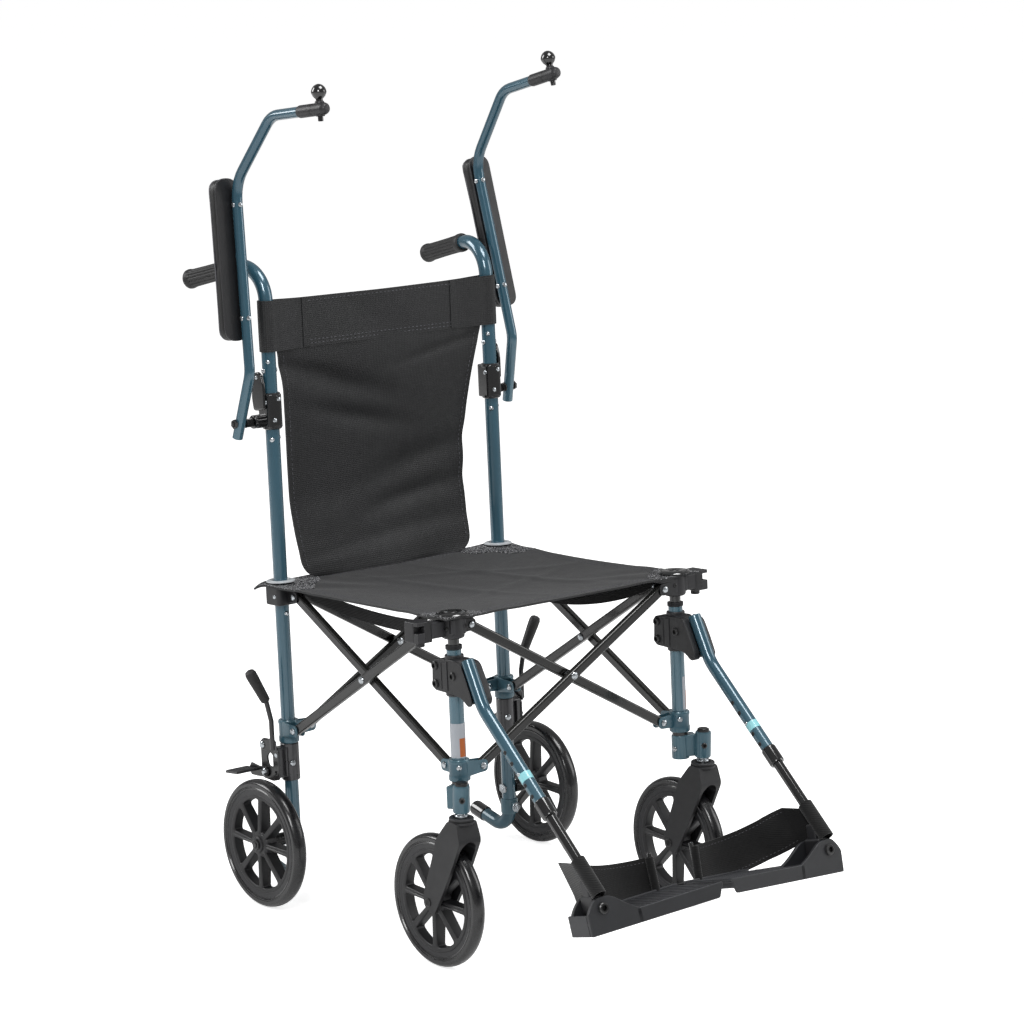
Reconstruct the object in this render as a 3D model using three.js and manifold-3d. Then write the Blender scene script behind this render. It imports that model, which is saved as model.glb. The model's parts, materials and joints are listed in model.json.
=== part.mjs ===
// Folding transport chair: four upright posts joined by four scissor pairs, slung fabric seat
// and back, flip-back arms, trailing casters in front, fixed-axle wheels behind, telescoping
// footrests. Millimetres, +Z up. The sitter faces -Y; "right" is the sitter's right (-X).
// The posts lean back a little while wheels and caster stems stand square to the floor.
// Origin: on the floor under the middle of the overall footprint.
import * as THREE from 'three';
import { mergeVertices } from 'three/addons/utils/BufferGeometryUtils.js';
import Module from 'manifold-3d';

const wasm = await Module();
wasm.setup();
const rad = THREE.MathUtils.degToRad;

// ---------------------------------------------------------------- driving dimensions
const POST_HALF = 215;          // post axes stand at x = +-215 and y = +-215
const POST_R = 11;              // post tube outer radius
const POST_IN_R = 9;            // front post bore
const SLIDE_R = POST_R + 0.4;   // bore of parts that fit round a post
const POST_LEAN = rad(3.93);    // backward lean of the posts
const FRAME_DROP = -0.82;       // height of the posts' own origin above the floor
const FOOTPRINT_SHIFT = 42.054099; // post centre behind the middle of the overall footprint

const PIN_LOW_Z = 290;          // lower scissor pins
const PIN_HIGH_Z = 499;         // upper scissor pins
const PIN_OFF = 33;             // pin axis from post axis
const BAR_W = 15;               // scissor bar height
const BAR_T = 11;               // scissor bar thickness
const LAYER = 6.8;              // bar centre plane either side of the post plane
const EAR_T = 2.4;              // clevis plate thickness
const EAR_GAP = 0.5;            // clevis plate clear of the bar
const SPAN = 2 * (POST_HALF - PIN_OFF);
const BAR_L = Math.hypot(SPAN, PIN_HIGH_Z - PIN_LOW_Z);
const BAR_ANGLE = Math.atan2(PIN_HIGH_Z - PIN_LOW_Z, SPAN);

const TYRE_R = 101.5;           // all four wheels
const TYRE_SEG = 22;            // tread facets
const AXLE_Z = TYRE_R * Math.cos(Math.PI / TYRE_SEG);
const REAR_WHEEL_OUT = 57;      // rear wheel mid-plane outboard of the post axis
const STEM_OUT = 21;            // caster stem outboard of the front post
const STEM_FLOOR_Y = -225.8;    // caster stem from the posts' origin, along the floor
const TRAIL = 54;               // caster trail

const HANDLE_Z = 1018;          // corner of the push-handle bend
const HANDLE_BACK = 174;        // handle tip behind the post
const HANDLE_SPLAY = 19;        // handle tip outboard of the post
const HANDLE_DROP = 36;         // handle tip below the bend corner
const BUTTON_Z = 471;           // snap button in the rear post

const ARM_OUT = 48.5;           // arm pivot outboard of the post
const ARM_PIVOT_BACK = 15.5;    // arm pivot behind the rear post axis
const ARM_PIVOT_Z = 770;
const ARM_TILT = rad(2.2);      // the pivot pin rises outboard, so a raised arm leans in
const ARM_R = 8.2;              // arm tube radius
const ARM_OFFSET = 36;          // straight of the arm ahead of the pivot when raised
const ARM_REACH = 458;          // pivot up to the end run of the raised arm
const ARM_TIP = 283;            // pivot forward to the end of the cap
const ARM_PIN = 266;            // pivot forward to the locking pin
const SOCKET_Z = ARM_PIVOT_Z - ARM_PIN * Math.cos(ARM_TILT);
const SOCKET_OUT = ARM_OUT + ARM_PIN * Math.sin(ARM_TILT);

const SEAT_Z = 516.2;           // underside of the seat cloth
const SEAT_T = 2.6;
const SEAT_HALF = POST_HALF + 30;
const BACK_HALF_T = 1.4;        // half thickness of the back cloth
const BACK_TOP = 955;
const SLEEVE_LOW = 877;         // lower end of the back cloth's post sleeves

// footrest places are [y from the front post, height]
const HANGER_OUT = 5;           // footrest tube plane outboard of the front post
const HANGER_TOP = [-37, 456];
const HANGER_BEND = [-70, 389];
const HANGER_END = [-203, 262];
const HANGER_FILLET = [60, 4];  // bend radius, arc steps
const PLATE_PIVOT = [-301, 134]; // footplate bolt line
const PLATE_PIVOT_OUT = 2;
const PLATE_INNER = 206;        // bolt line to inner end of footplate
const PLATE_TURN = [rad(12), rad(4), rad(5)]; // toe up, inner end up, inner end forward

// posts' frame against the floor
const LEAN_SIN = Math.sin(POST_LEAN);
const LEAN_COS = Math.cos(POST_LEAN);
const REAR_AXLE_Z = (AXLE_Z - FRAME_DROP + POST_HALF * LEAN_SIN) / LEAN_COS;
const STEM_FOOT_Y = STEM_FLOOR_Y * LEAN_COS + FRAME_DROP * LEAN_SIN + POST_HALF;
const STEM_FOOT_Z = STEM_FLOOR_Y * LEAN_SIN - FRAME_DROP * LEAN_COS;

// side counts of round sections
const ROUND = 14;
const MEDIUM = 10;
const COARSE = 8;
const SMALL = 6;

const FINISHES = {
  teal: { color: 0x6f929f, roughness: 0.35, metalness: 0.45 },
  black: { color: 0x34353a, roughness: 0.55, metalness: 0.1 },
  plastic: { color: 0x55565b, roughness: 0.6, metalness: 0 },
  rubber: { color: 0x4c4c4e, roughness: 0.85, metalness: 0 },
  cloth: { color: 0x505156, roughness: 0.9, metalness: 0 },
  pad: { color: 0x5c5d61, roughness: 0.7, metalness: 0 },
  zinc: { color: 0xc3c6c8, roughness: 0.35, metalness: 0.85 },
  bar: { color: 0x4a4b4a, roughness: 0.45, metalness: 0.3 },
  grip: { color: 0x6a6a69, roughness: 0.7, metalness: 0 },
};

// ---------------------------------------------------------------- solids and meshes
function toSolid(geometry) {
  const bare = geometry.clone();
  for (const key of Object.keys(bare.attributes)) {
    if (key !== 'position') bare.deleteAttribute(key);
  }
  const merged = mergeVertices(bare, 1e-4);
  return new wasm.Manifold(new wasm.Mesh({
    numProp: 3,
    vertProperties: new Float32Array(merged.attributes.position.array),
    triVerts: new Uint32Array(merged.index.array),
  }));
}
function toGeometry(solid) {
  const { vertProperties, triVerts } = solid.getMesh();
  const geometry = new THREE.BufferGeometry();
  const positions = new THREE.BufferAttribute(new Float32Array(vertProperties), 3);
  geometry.setAttribute('position', positions);
  geometry.setIndex(new THREE.BufferAttribute(new Uint32Array(triVerts), 1));
  geometry.computeVertexNormals();
  return geometry;
}
const join = (...shapes) => shapes.map(toSolid).reduce((a, b) => a.add(b));
const cut = (solid, ...shapes) => shapes.map(toSolid).reduce((a, b) => a.subtract(b), solid);

function part(name, shape, finish, parent) {
  const geometry = shape.isBufferGeometry ? shape : toGeometry(shape);
  const mesh = new THREE.Mesh(geometry, new THREE.MeshStandardMaterial(FINISHES[finish]));
  mesh.name = name;
  parent.add(mesh);
  return mesh;
}
function frame(parent, x, y, z = 0) {
  const group = new THREE.Group();
  group.position.set(x, y, z);
  parent.add(group);
  return group;
}

// ---------------------------------------------------------------- basic shapes
const sorted = (a, b) => [Math.min(a, b), Math.max(a, b)];

function box(xa, xb, y0, y1, z0, z1) {
  const [x0, x1] = sorted(xa, xb);
  return new THREE.BoxGeometry(x1 - x0, y1 - y0, z1 - z0)
    .translate((x0 + x1) / 2, (y0 + y1) / 2, (z0 + z1) / 2);
}
const cylinder = (radius, length, sides) =>
  new THREE.CylinderGeometry(radius, radius, length, sides);
function cylZ(radius, z0, z1, sides = ROUND, x = 0, y = 0) {
  return cylinder(radius, z1 - z0, sides).rotateX(Math.PI / 2).rotateZ(Math.PI / sides)
    .translate(x, y, (z0 + z1) / 2);
}
function cylX(radius, xa, xb, y, z, sides = MEDIUM) {
  const [x0, x1] = sorted(xa, xb);
  return cylinder(radius, x1 - x0, sides).rotateZ(Math.PI / 2).rotateX(Math.PI / sides)
    .translate((x0 + x1) / 2, y, z);
}
function cylY(radius, ya, yb, x, z, sides = MEDIUM) {
  const [y0, y1] = sorted(ya, yb);
  return cylinder(radius, y1 - y0, sides).rotateY(Math.PI / sides)
    .translate(x, (y0 + y1) / 2, z);
}

function slab(outline, depth) {
  const shape = new THREE.Shape(outline.map(([u, v]) => new THREE.Vector2(u, v)));
  return new THREE.ExtrudeGeometry(shape, { depth, bevelEnabled: false, steps: 1 });
}
// flat plate: outline [[y, z], ...] between two x planes
function plateX(outline, xa, xb) {
  const [x0, x1] = sorted(xa, xb);
  const turn = new THREE.Matrix4().set(0, 0, 1, x0, 1, 0, 0, 0, 0, 1, 0, 0, 0, 0, 0, 1);
  return slab(outline, x1 - x0).applyMatrix4(turn);
}
// flat plate: outline [[x, z], ...] between two y planes
function plateY(outline, ya, yb) {
  const [y0, y1] = sorted(ya, yb);
  const turn = new THREE.Matrix4().set(1, 0, 0, 0, 0, 0, -1, y1, 0, 1, 0, 0, 0, 0, 0, 1);
  return slab(outline, y1 - y0).applyMatrix4(turn);
}
// flat plate: outline [[x, y], ...] between two heights
const plateZ = (outline, z0, z1) => slab(outline, z1 - z0).translate(0, 0, z0);

// arc from one angle to another, degrees, as steps + 1 points
const arc = (u, v, radius, from, to, steps) => Array.from({ length: steps + 1 }, (_, i) => {
  const angle = rad(from + (to - from) * i / steps);
  return [u + radius * Math.cos(angle), v + radius * Math.sin(angle)];
});

// centre line through straight runs and round bends; sampled only where it turns
class BendLine extends THREE.Curve {
  constructor(points, bends) {
    super();
    const corners = points.map((p) => new THREE.Vector3(...p));
    const heading = (i) => corners[i + 1].clone().sub(corners[i]).normalize();
    const last = corners.length - 1;
    this.stations = [corners[0]];
    this.tangents = [heading(0)];
    bends.forEach(([radius, steps], i) => {
      const before = heading(i);
      const angle = before.angleTo(heading(i + 1));
      const axis = before.clone().cross(heading(i + 1)).normalize();
      const setback = radius * Math.tan(angle / 2);
      const start = corners[i + 1].clone().addScaledVector(before, -setback);
      const centre = start.clone().addScaledVector(axis.clone().cross(before), radius);
      for (let k = 0; k <= steps; k++) {
        const turn = new THREE.Quaternion().setFromAxisAngle(axis, angle * k / steps);
        this.stations.push(start.clone().sub(centre).applyQuaternion(turn).add(centre));
        this.tangents.push(before.clone().applyQuaternion(turn));
      }
    });
    this.stations.push(corners[last]);
    this.tangents.push(heading(last - 1));
    this.steps = this.stations.length - 1;
  }
  getPointAt(t) { return this.stations[Math.round(t * this.steps)].clone(); }
  getTangentAt(t) { return this.tangents[Math.round(t * this.steps)].clone(); }
}
// round bar through points; bends: [fillet radius, arc steps] for each inner point
function rod(points, radius, bends = [], sides = MEDIUM) {
  const line = new BendLine(points, bends);
  const ring = Array.from({ length: sides }, (_, i) => {
    const angle = (i + 0.5) * 2 * Math.PI / sides;
    return new THREE.Vector2(radius * Math.cos(angle), radius * Math.sin(angle));
  });
  return new THREE.ExtrudeGeometry(new THREE.Shape(ring), { steps: line.steps, extrudePath: line });
}

// ---------------------------------------------------------------- clevises on the posts
// layer: offset of the bar met at this level, signed by the side of the chair
const FOOT = { z: PIN_LOW_Z, layer: LAYER, halfHeight: 10 };
const HEAD = { z: PIN_HIGH_Z, layer: -LAYER, halfHeight: 13 };

// two plates reaching from a collar to a scissor pin, either side of the bar
function clevis(plate, reach, layer, { z, halfHeight }) {
  const outline = [
    [reach, z - halfHeight],
    ...arc(reach * PIN_OFF, z, 9, reach > 0 ? -90 : 270, 90, 3),
    [reach, z + halfHeight],
  ];
  return [-1, 1].map((k) => {
    const face = layer + k * (BAR_T / 2 + EAR_GAP);
    return plate(outline, face, face + k * EAR_T);
  });
}
// plates and pin holes of both clevises at one post level; inward: y direction to mid-chair
function clevises(sign, inward, level) {
  const layers = [sign * level.layer, inward * level.layer];
  const hole = (cyl, reach, layer) =>
    cyl(3.7, layer - 12, layer + 12, reach * PIN_OFF, level.z, SMALL);
  return {
    plates: [...clevis(plateY, -sign, layers[0], level), ...clevis(plateX, inward, layers[1], level)],
    holes: [hole(cylY, -sign, layers[0]), hole(cylX, inward, layers[1])],
  };
}

// ---------------------------------------------------------------- scissor bars
// long axis x, plate normal y; end pins at +-BAR_L/2; the near bar carries the centre pin
function scissorBar(near) {
  const half = BAR_L / 2;
  const outline = [...arc(half, 0, BAR_W / 2, -90, 90, 4), ...arc(-half, 0, BAR_W / 2, 90, 270, 4)];
  const shapes = [plateY(outline, -BAR_T / 2, BAR_T / 2)];
  for (const x of [-half, half]) {
    shapes.push(cylY(3, -8.9, 8.9, x, 0, SMALL));
    for (const k of [-1, 1]) shapes.push(cylY(5.2, k * 8.7, k * 11.2, x, 0, SMALL));
  }
  if (!near) return cut(join(...shapes), cylY(4.2, -10, 10, 0, 0, SMALL));
  const farFace = 2 * LAYER + BAR_T / 2;
  return join(
    ...shapes,
    cylY(3.5, 0, farFace + 0.6, 0, 0, SMALL),                         // centre pin
    cylY(5.6, farFace + 0.4, farFace + 3, 0, 0, SMALL),               // its heads
    cylY(5.6, -BAR_T / 2 - 2.6, -BAR_T / 2 + 1, 0, 0, SMALL),
  );
}
// the near bar (a) lies on the -y or -x layer and rises from the right or rear foot
function scissorPair(name, x, y, alongY) {
  for (const [letter, layerSign] of [['a', -1], ['b', 1]]) {
    const offset = layerSign * LAYER;
    const holder = frame(chair, x, y, (PIN_LOW_Z + PIN_HIGH_Z) / 2);
    holder.position[alongY ? 'x' : 'y'] += offset;
    if (alongY) holder.rotation.z = -Math.PI / 2;       // local +x to -y, local y to x
    const mesh = part(`${name}_scissor_bar_${letter}`, scissorBar(layerSign < 0), 'bar', holder);
    mesh.rotation.y = layerSign * BAR_ANGLE;
  }
}

// ---------------------------------------------------------------- wheels (axis x, centre at origin)
// width: tread width scale; bore and halfLength: of the hub
const REAR_WHEEL = { tyreWidth: 13, width: 19, bore: 6.4, halfLength: 14.8 };
const CASTER_WHEEL = { tyreWidth: 12, width: 18, bore: 5.4, halfLength: 13.2 };
const SPOKES = 8;

// profile: [radius, offset from the mid-plane]
function revolve(profile) {
  const points = profile.map(([radius, offset]) => new THREE.Vector2(radius, offset));
  return new THREE.LatheGeometry(points, TYRE_SEG, Math.PI / TYRE_SEG).rotateZ(Math.PI / 2);
}
function tyre({ tyreWidth: w }) {
  return revolve([
    [84, -w * 0.66], [94, -w * 0.95], [TYRE_R, -w * 0.42], [TYRE_R, w * 0.42],
    [94, w * 0.95], [84, w * 0.66], [84, -w * 0.66],
  ]);
}
// rim, hub and spokes
function wheel({ width: w, bore, halfLength }) {
  const rim = [[72, -w * 0.5], [83.5, -w * 0.6], [83.5, w * 0.6], [72, w * 0.5], [72, -w * 0.5]];
  const shapes = [revolve(rim), cylX(17, -halfLength, halfLength, 0, 0)];
  for (let i = 0; i < SPOKES; i++) {
    const spoke = box(-w * 0.35, w * 0.35, -4.5, 4.5, 14, 76);
    shapes.push(spoke.rotateX(2 * Math.PI * i / SPOKES));
  }
  return cut(join(...shapes), cylX(bore, -halfLength - 1, halfLength + 1, 0, 0));
}

// Corner pieces below take a side: sign is -1 right, +1 left; out() turns a distance
// outboard of the post into local x. Their origin is on the post axis at its z = 0.

// ---------------------------------------------------------------- rear corner
// point on the push handle, measured back from the bend corner
function handlePoint(out, distance) {
  const direction = new THREE.Vector3(out(HANDLE_SPLAY), HANDLE_BACK, -HANDLE_DROP).normalize();
  return direction.multiplyScalar(distance).add(new THREE.Vector3(0, 0, HANDLE_Z)).toArray();
}
function rearPost({ sign, out }) {
  const { plates, holes } = clevises(sign, -1, FOOT);
  const line = [[0, 0, 84], [0, 0, HANDLE_Z], handlePoint(out, 166)];
  const post = join(
    rod(line, POST_R, [[52, 5]], ROUND),
    cylZ(16, 267, 303),                                               // clevis collar
    ...plates,
    cylX(6, 0, out(72.4), 0, REAR_AXLE_Z),                            // axle
    cylX(10, out(9), out(41.6), 0, REAR_AXLE_Z),                      // spacer
    cylX(9.5, out(72.3), out(76), 0, REAR_AXLE_Z, COARSE),            // axle head
  );
  return cut(post, ...holes, cylY(4.2, -20, -1.6, 0, BUTTON_Z, COARSE));
}
// sleeve closed at the far end
function pushGrip({ out }) {
  const sleeve = rod([handlePoint(out, 66), handlePoint(out, 182)], 15.5, [], ROUND);
  const bore = rod([handlePoint(out, 58), handlePoint(out, 168)], POST_R + 0.8, [], ROUND);
  return cut(join(sleeve), bore);
}
// sliding corner under the seat
function rearCorner({ sign }) {
  const { plates, holes } = clevises(sign, -1, HEAD);
  return cut(join(cylZ(19, 485, 514), ...plates), cylZ(SLIDE_R, 480, 520), ...holes);
}

const STOP_FIN = [   // [y, z]
  [-6, 790], [22, 786], [26, 806], [22, 834], [12, 848], [0, 844], [-6, 826],
];
// arm collar with pivot ear, stop fin and pivot pin
function armCollar({ sign, out }) {
  const onPivot = (radius, x0, x1) => cylX(radius, out(x0), out(x1), 0, 0, COARSE)
    .rotateY(-sign * ARM_TILT).translate(out(ARM_OUT), ARM_PIVOT_BACK, ARM_PIVOT_Z);
  const collar = join(
    box(-13.5, 13.5, -13.5, 20, 760, 812),
    box(out(4), out(28.5), 4, 27, 759, 780),                          // pivot ear
    plateX(STOP_FIN, out(13), out(18)),
    onPivot(4.5, -23, 10),                                            // pin
    onPivot(7.5, -21, -8.9),                                          // inboard shoulder
    onPivot(7.5, 8.9, 15.5),                                          // outboard head
  );
  return cut(collar, cylZ(SLIDE_R, 750, 820));
}

// Arm pieces stand raised, their origin at the pivot.
function armTube() {
  const line = [
    [0, 10, -22], [0, -ARM_OFFSET, 76], [0, -ARM_OFFSET, 364],
    [0, -141, ARM_REACH], [0, -222, ARM_REACH],
  ];
  const tube = rod(line, ARM_R, [[45, 2], [60, 3], [45, 3]]);
  return cut(
    join(tube, cylY(9.6, -ARM_TIP, -216, 0, ARM_REACH)),              // with end cap
    cylX(5, -12, 12, 0, 0, COARSE),
    cylZ(4.4, ARM_REACH - 14, ARM_REACH + 14, COARSE, 0, -ARM_PIN),
  );
}
// rounded pad behind the raised arm, so on top of it once lowered
function armPad({ out }) {
  const halfWidth = 21;
  const halfLength = 124;
  const midZ = 250;
  const cornerR = 16;
  const outline = [[1, 1], [-1, 1], [-1, -1], [1, -1]].flatMap(([kx, kz], i) => arc(
    kx * (halfWidth - cornerR), midZ + kz * (halfLength - cornerR),
    cornerR, 90 * i, 90 * (i + 1), 4,
  ));
  const tubeBack = -ARM_OFFSET + ARM_R;
  return join(plateY(outline, tubeBack + 0.4, tubeBack + 28).translate(out(12), 0, 0));
}
function armPlunger() {
  const knob = new THREE.SphereGeometry(11.5, 10, 7).rotateX(Math.PI / 2);
  return join(
    cylZ(4, ARM_REACH - 18, ARM_REACH + 18, COARSE, 0, -ARM_PIN),
    knob.translate(0, -ARM_PIN, ARM_REACH + 25),
  );
}

// wheel brake: pivots [y, z], plates in one plane outboard of the clamp
const LEVER_PIVOT = [26, 264];
const SHOE_PIVOT = [24, 221];
const BRAKE_PLANE = [29.4, 33];
const CLAMP_PLATE = [[-9, 212], [34, 210], [36, 228], [36, 274], [16, 274], [-9, 258]];

const brakePlate = (outline, out) => plateX(outline, ...BRAKE_PLANE.map(out));
const brakeHole = (pivot, out) => cylX(4.2, out(25), out(40), ...pivot, SMALL);
function brakeClamp({ out }) {
  const rivets = [LEVER_PIVOT, SHOE_PIVOT].flatMap((pivot) => [
    cylX(3.5, out(28), out(34.2), ...pivot, SMALL),
    cylX(6, out(33.5), out(36.5), ...pivot, SMALL),
  ]);
  const clamp = join(
    cylZ(14.5, 208, 266),
    box(out(10), out(27), -8, 10, 214, 262),
    plateX(CLAMP_PLATE, out(26), out(29)),
    ...rivets,
  );
  return cut(clamp, cylZ(SLIDE_R, 200, 270));
}
function brakeLever({ out }) {
  const outline = [...arc(...LEVER_PIVOT, 8, -90, 90, 5), [-2, 276], [-8, 272], [-8, 258], [4, 256]];
  const tip = [out(68), -3, 386];
  const line = [[out(34), -3, 258], [out(34), -3, 306], [out(41), -3, 337], tip];
  const lever = join(
    brakePlate(outline, out),
    rod(line, 4.2, [[8, 2], [8, 2]], SMALL),
    rod([[out(40.4), -3, 336], tip], 9, [], COARSE),                  // hand sleeve
  );
  return cut(lever, brakeHole(LEVER_PIVOT, out));
}
function brakeShoe({ out }) {
  const outline = [
    ...arc(...SHOE_PIVOT, 8, 90, 270, 5), [60, 211.5], [70, 220], [60, 232], [40, 228],
  ];
  const pad = box(-21, 21, -16, 16, -2.5, 2.5).rotateX(rad(-3.8)).translate(out(51), 59, 222);
  return cut(join(brakePlate(outline, out), pad), brakeHole(SHOE_PIVOT, out));
}
// socket round the post end, bent tube, end cap
function tippingLever() {
  const lever = join(
    rod([[0, 0, 83.5], [0, 0, 56], [0, 80, 66]], POST_R, [[26, 6]]),
    cylZ(14, 74, 90),
    rod([[0, 62, 63.75], [0, 92, 67.5]], 12.6),
  );
  return cut(lever, cylZ(SLIDE_R, 83.6, 95));
}

// ---------------------------------------------------------------- front corner
const stemFoot = (out) => [out(STEM_OUT), STEM_FOOT_Y, STEM_FOOT_Z];

function frontPost({ sign, out }) {
  const { plates, holes } = clevises(sign, 1, FOOT);
  // on the caster stem axis, square to the floor; heights from the floor
  const onStem = (shape) => shape.rotateX(POST_LEAN).translate(...stemFoot(out));
  const post = join(
    cylZ(POST_R, 229, 467.5),
    cylZ(12.4, 467, 474),                                             // top bush
    cylZ(16, 272, 304),                                               // clevis collar
    ...plates,
    cylZ(13.6, 229.4, 266),                                           // bottom sleeve
    onStem(cylZ(12.5, 247, 288)),                                     // stem housing
    onStem(cylZ(9.5, 287, 293, MEDIUM)),                              // its cap
    box(0, 36, -6, 6, 236, 268).rotateZ(Math.atan2(-28.5, out(STEM_OUT))), // web to housing
  );
  return cut(post, cylZ(POST_IN_R, 233, 480), ...holes, onStem(cylZ(6.6, 240, 283, MEDIUM)));
}
// telescoping stem, clevises, seat button and arm socket
function frontCorner({ sign, out }) {
  const { plates, holes } = clevises(sign, 1, HEAD);
  const corner = join(
    cylZ(8.6, 240, 488),                                              // stem
    cylZ(17, 484, 515),                                               // corner body
    cylZ(8, 514, 520.5, MEDIUM),                                      // button neck
    cylZ(19.5, 519.6, 523.4),                                         // seat button
    ...plates,
    box(out(8), out(44), -2.4, 14, 488, 512),                         // bridge to socket
    box(out(SOCKET_OUT - 19), out(SOCKET_OUT + 7.3), -2.4, 30, 484, 515),
    cylZ(7, 477, 486, COARSE, out(52), 12),                           // boss under the socket
  );
  const pinHole = box(out(SOCKET_OUT - 5), out(SOCKET_OUT + 5), -10, 8, SOCKET_Z - 5, SOCKET_Z + 5);
  return cut(corner, ...holes, pinHole);
}

const FORK_LEG = [   // [y, z]
  [-12, 234], [-21, 206], [-3, 165], [19, 121], [40, 84],
  [TRAIL - 7, AXLE_Z - 14], [TRAIL + 9, AXLE_Z - 9], [TRAIL + 12, AXLE_Z + 8],
  [50, 154], [40, 184], [37, 199], [10, 234],
];
const FORK_CROWN = [[-12, 234], [-21, 207.5], [38, 207.5], [10, 234]];   // [y, z]
// origin on the floor under the stem
function casterFork() {
  return join(
    cylZ(6.2, 230, 281.5, MEDIUM),                                    // stem
    cylZ(19, 231, 240),                                               // stem flange
    plateX(FORK_CROWN, -16, 16),
    ...[-1, 1].map((k) => plateX(FORK_LEG, k * 14.6, k * 20.5)),
    cylX(5, -22, 22, TRAIL, AXLE_Z),                                  // axle and its heads
    ...[-1, 1].map((k) => cylX(8, k * 19, k * 22.5, TRAIL, AXLE_Z, COARSE)),
  );
}

// ---------------------------------------------------------------- footrest
const CLAMP_NOSE = [[-40, 451], [-55, 422], [-65, 398], [-61, 391], [-52, 389]];   // [y, z]
// clamp round the post, channel for the hanger tube
function hangerClamp({ out }) {
  const x = out(HANGER_OUT);
  const body = [
    [34, 450], [-22, 454], ...CLAMP_NOSE, [-33, 402], [30, 405], [36, 412],
  ];
  const cheek = [[-26, 454], ...CLAMP_NOSE, [-28, 403]];
  const clamp = join(plateX(body, -15.5, 15.5), plateX(cheek, out(8), out(20)));
  const channelTop = [x, HANGER_TOP[0] + 8, HANGER_TOP[1] + 16];
  const channel = [channelTop, [x, ...HANGER_BEND], [x, -150, 312.6]];
  return cut(clamp, cylZ(SLIDE_R, 370, 470), rod(channel, 10.6, [HANGER_FILLET]));
}

const HANGER_AXIS = new THREE.Vector2(
  HANGER_END[0] - HANGER_BEND[0], HANGER_END[1] - HANGER_BEND[1],
).normalize();
// point on the sloping hanger run, measured down and forward from its end
const hangerPoint = (out, distance) => [
  out(HANGER_OUT),
  HANGER_END[0] + HANGER_AXIS.x * distance,
  HANGER_END[1] + HANGER_AXIS.y * distance,
];
function hangerTube({ out }) {
  const x = out(HANGER_OUT);
  const line = [[x, ...HANGER_TOP], [x, ...HANGER_BEND], hangerPoint(out, 0)];
  const bore = rod([hangerPoint(out, -118), hangerPoint(out, 5)], 8.3);
  return cut(join(rod(line, 9.8, [HANGER_FILLET])), bore);
}

const platePivot = (out) => [out(PLATE_PIVOT_OUT), ...PLATE_PIVOT];
const plateEuler = (sign) => new THREE.Euler(
  -PLATE_TURN[0], sign * PLATE_TURN[1], sign * PLATE_TURN[2], 'ZXY',
);
// inner tube with the pivot block at its foot
function lowerTube({ sign, out }) {
  const [x, y, z] = platePivot(out);
  const turn = new THREE.Matrix4().makeRotationFromEuler(plateEuler(sign));
  const turned = (shape) => shape.applyMatrix4(turn).translate(x, y, z);
  const foot = (y + 4 - HANGER_END[0]) / HANGER_AXIS.x;
  const tube = join(
    rod([hangerPoint(out, -70), hangerPoint(out, foot)], 7.8),
    turned(box(-11, 11, -12, 18, -9, 20)),
    box(x - 9, x + 9, y - 3, y + 14, z + 8, z + 34),
  );
  return cut(tube, turned(cylY(5.6, -30, 30, 0, 0, COARSE)));
}

// Footplate pieces have their origin at the hinge bolt.
function footplateBolt() {
  return join(
    cylY(5, -19.5, 28, 0, 0, COARSE),
    cylY(8, -23.6, -19.4, 0, 0, COARSE),
    cylY(8, 26.6, 30, 0, 0, COARSE),
  );
}
// tray, narrow outboard, with cheeks that hold the bolt
function footplate({ out }) {
  const outer = out(27);
  const inner = (distance) => out(distance - PLATE_INNER);
  // the lower layer is set back so that the inner ends clear each other as the plates rise
  const tray = (back, z0, z1) => plateZ([
    [outer, -19], [outer, 36], [out(-30), 60], [out(-95), 92],
    [inner(10.7 + back), 92], [inner(back), -19],
  ], z0, z1);
  const cheek = [
    [outer, -36], [out(-62), -36], [out(-62), -16], [out(-20), 12],
    [out(-8), 16], [out(9), 16], [outer, -2],
  ];
  const lipEnd = [[inner(30), -36], [inner(10), -36], [inner(0.5), -16], [inner(30), -16]];
  const plate = join(
    tray(0, -19.5, -16),
    tray(2, -23, -19.4),
    plateY(cheek, -19.2, -13.2),
    plateY(cheek, 20, 26),
    box(out(-60), inner(31), -19, -14, -36, -16),                     // front lip
    plateY(lipEnd, -19, -14),
  );
  return cut(plate, cylY(5.6, -30, 40, 0, 0, COARSE));
}
// cloth band from behind the footrest tube to the inner rear of the footplate
function heelStrap({ out }) {
  const height = 62;
  const thickness = 2.6;
  const band = new THREE.BoxGeometry(1, thickness, 1, 9, 1, 1);
  const vertices = band.attributes.position;
  const line = new THREE.QuadraticBezierCurve3(
    new THREE.Vector3(out(10), 44, 44),
    new THREE.Vector3(out(-58), 112, 6),
    new THREE.Vector3(out(-166), 96, 3),
  );
  for (let i = 0; i < vertices.count; i++) {
    const t = vertices.getX(i) + 0.5;
    const centre = line.getPoint(t);
    const along = line.getTangent(t);
    const across = new THREE.Vector2(-along.y, along.x).normalize()
      .multiplyScalar(vertices.getY(i));
    const up = new THREE.Vector3(-along.x * along.z, 0, 1).normalize()
      .multiplyScalar(height * vertices.getZ(i));
    vertices.setXYZ(i, centre.x + across.x + up.x, centre.y + across.y, centre.z + up.z);
  }
  return join(band);
}

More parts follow.
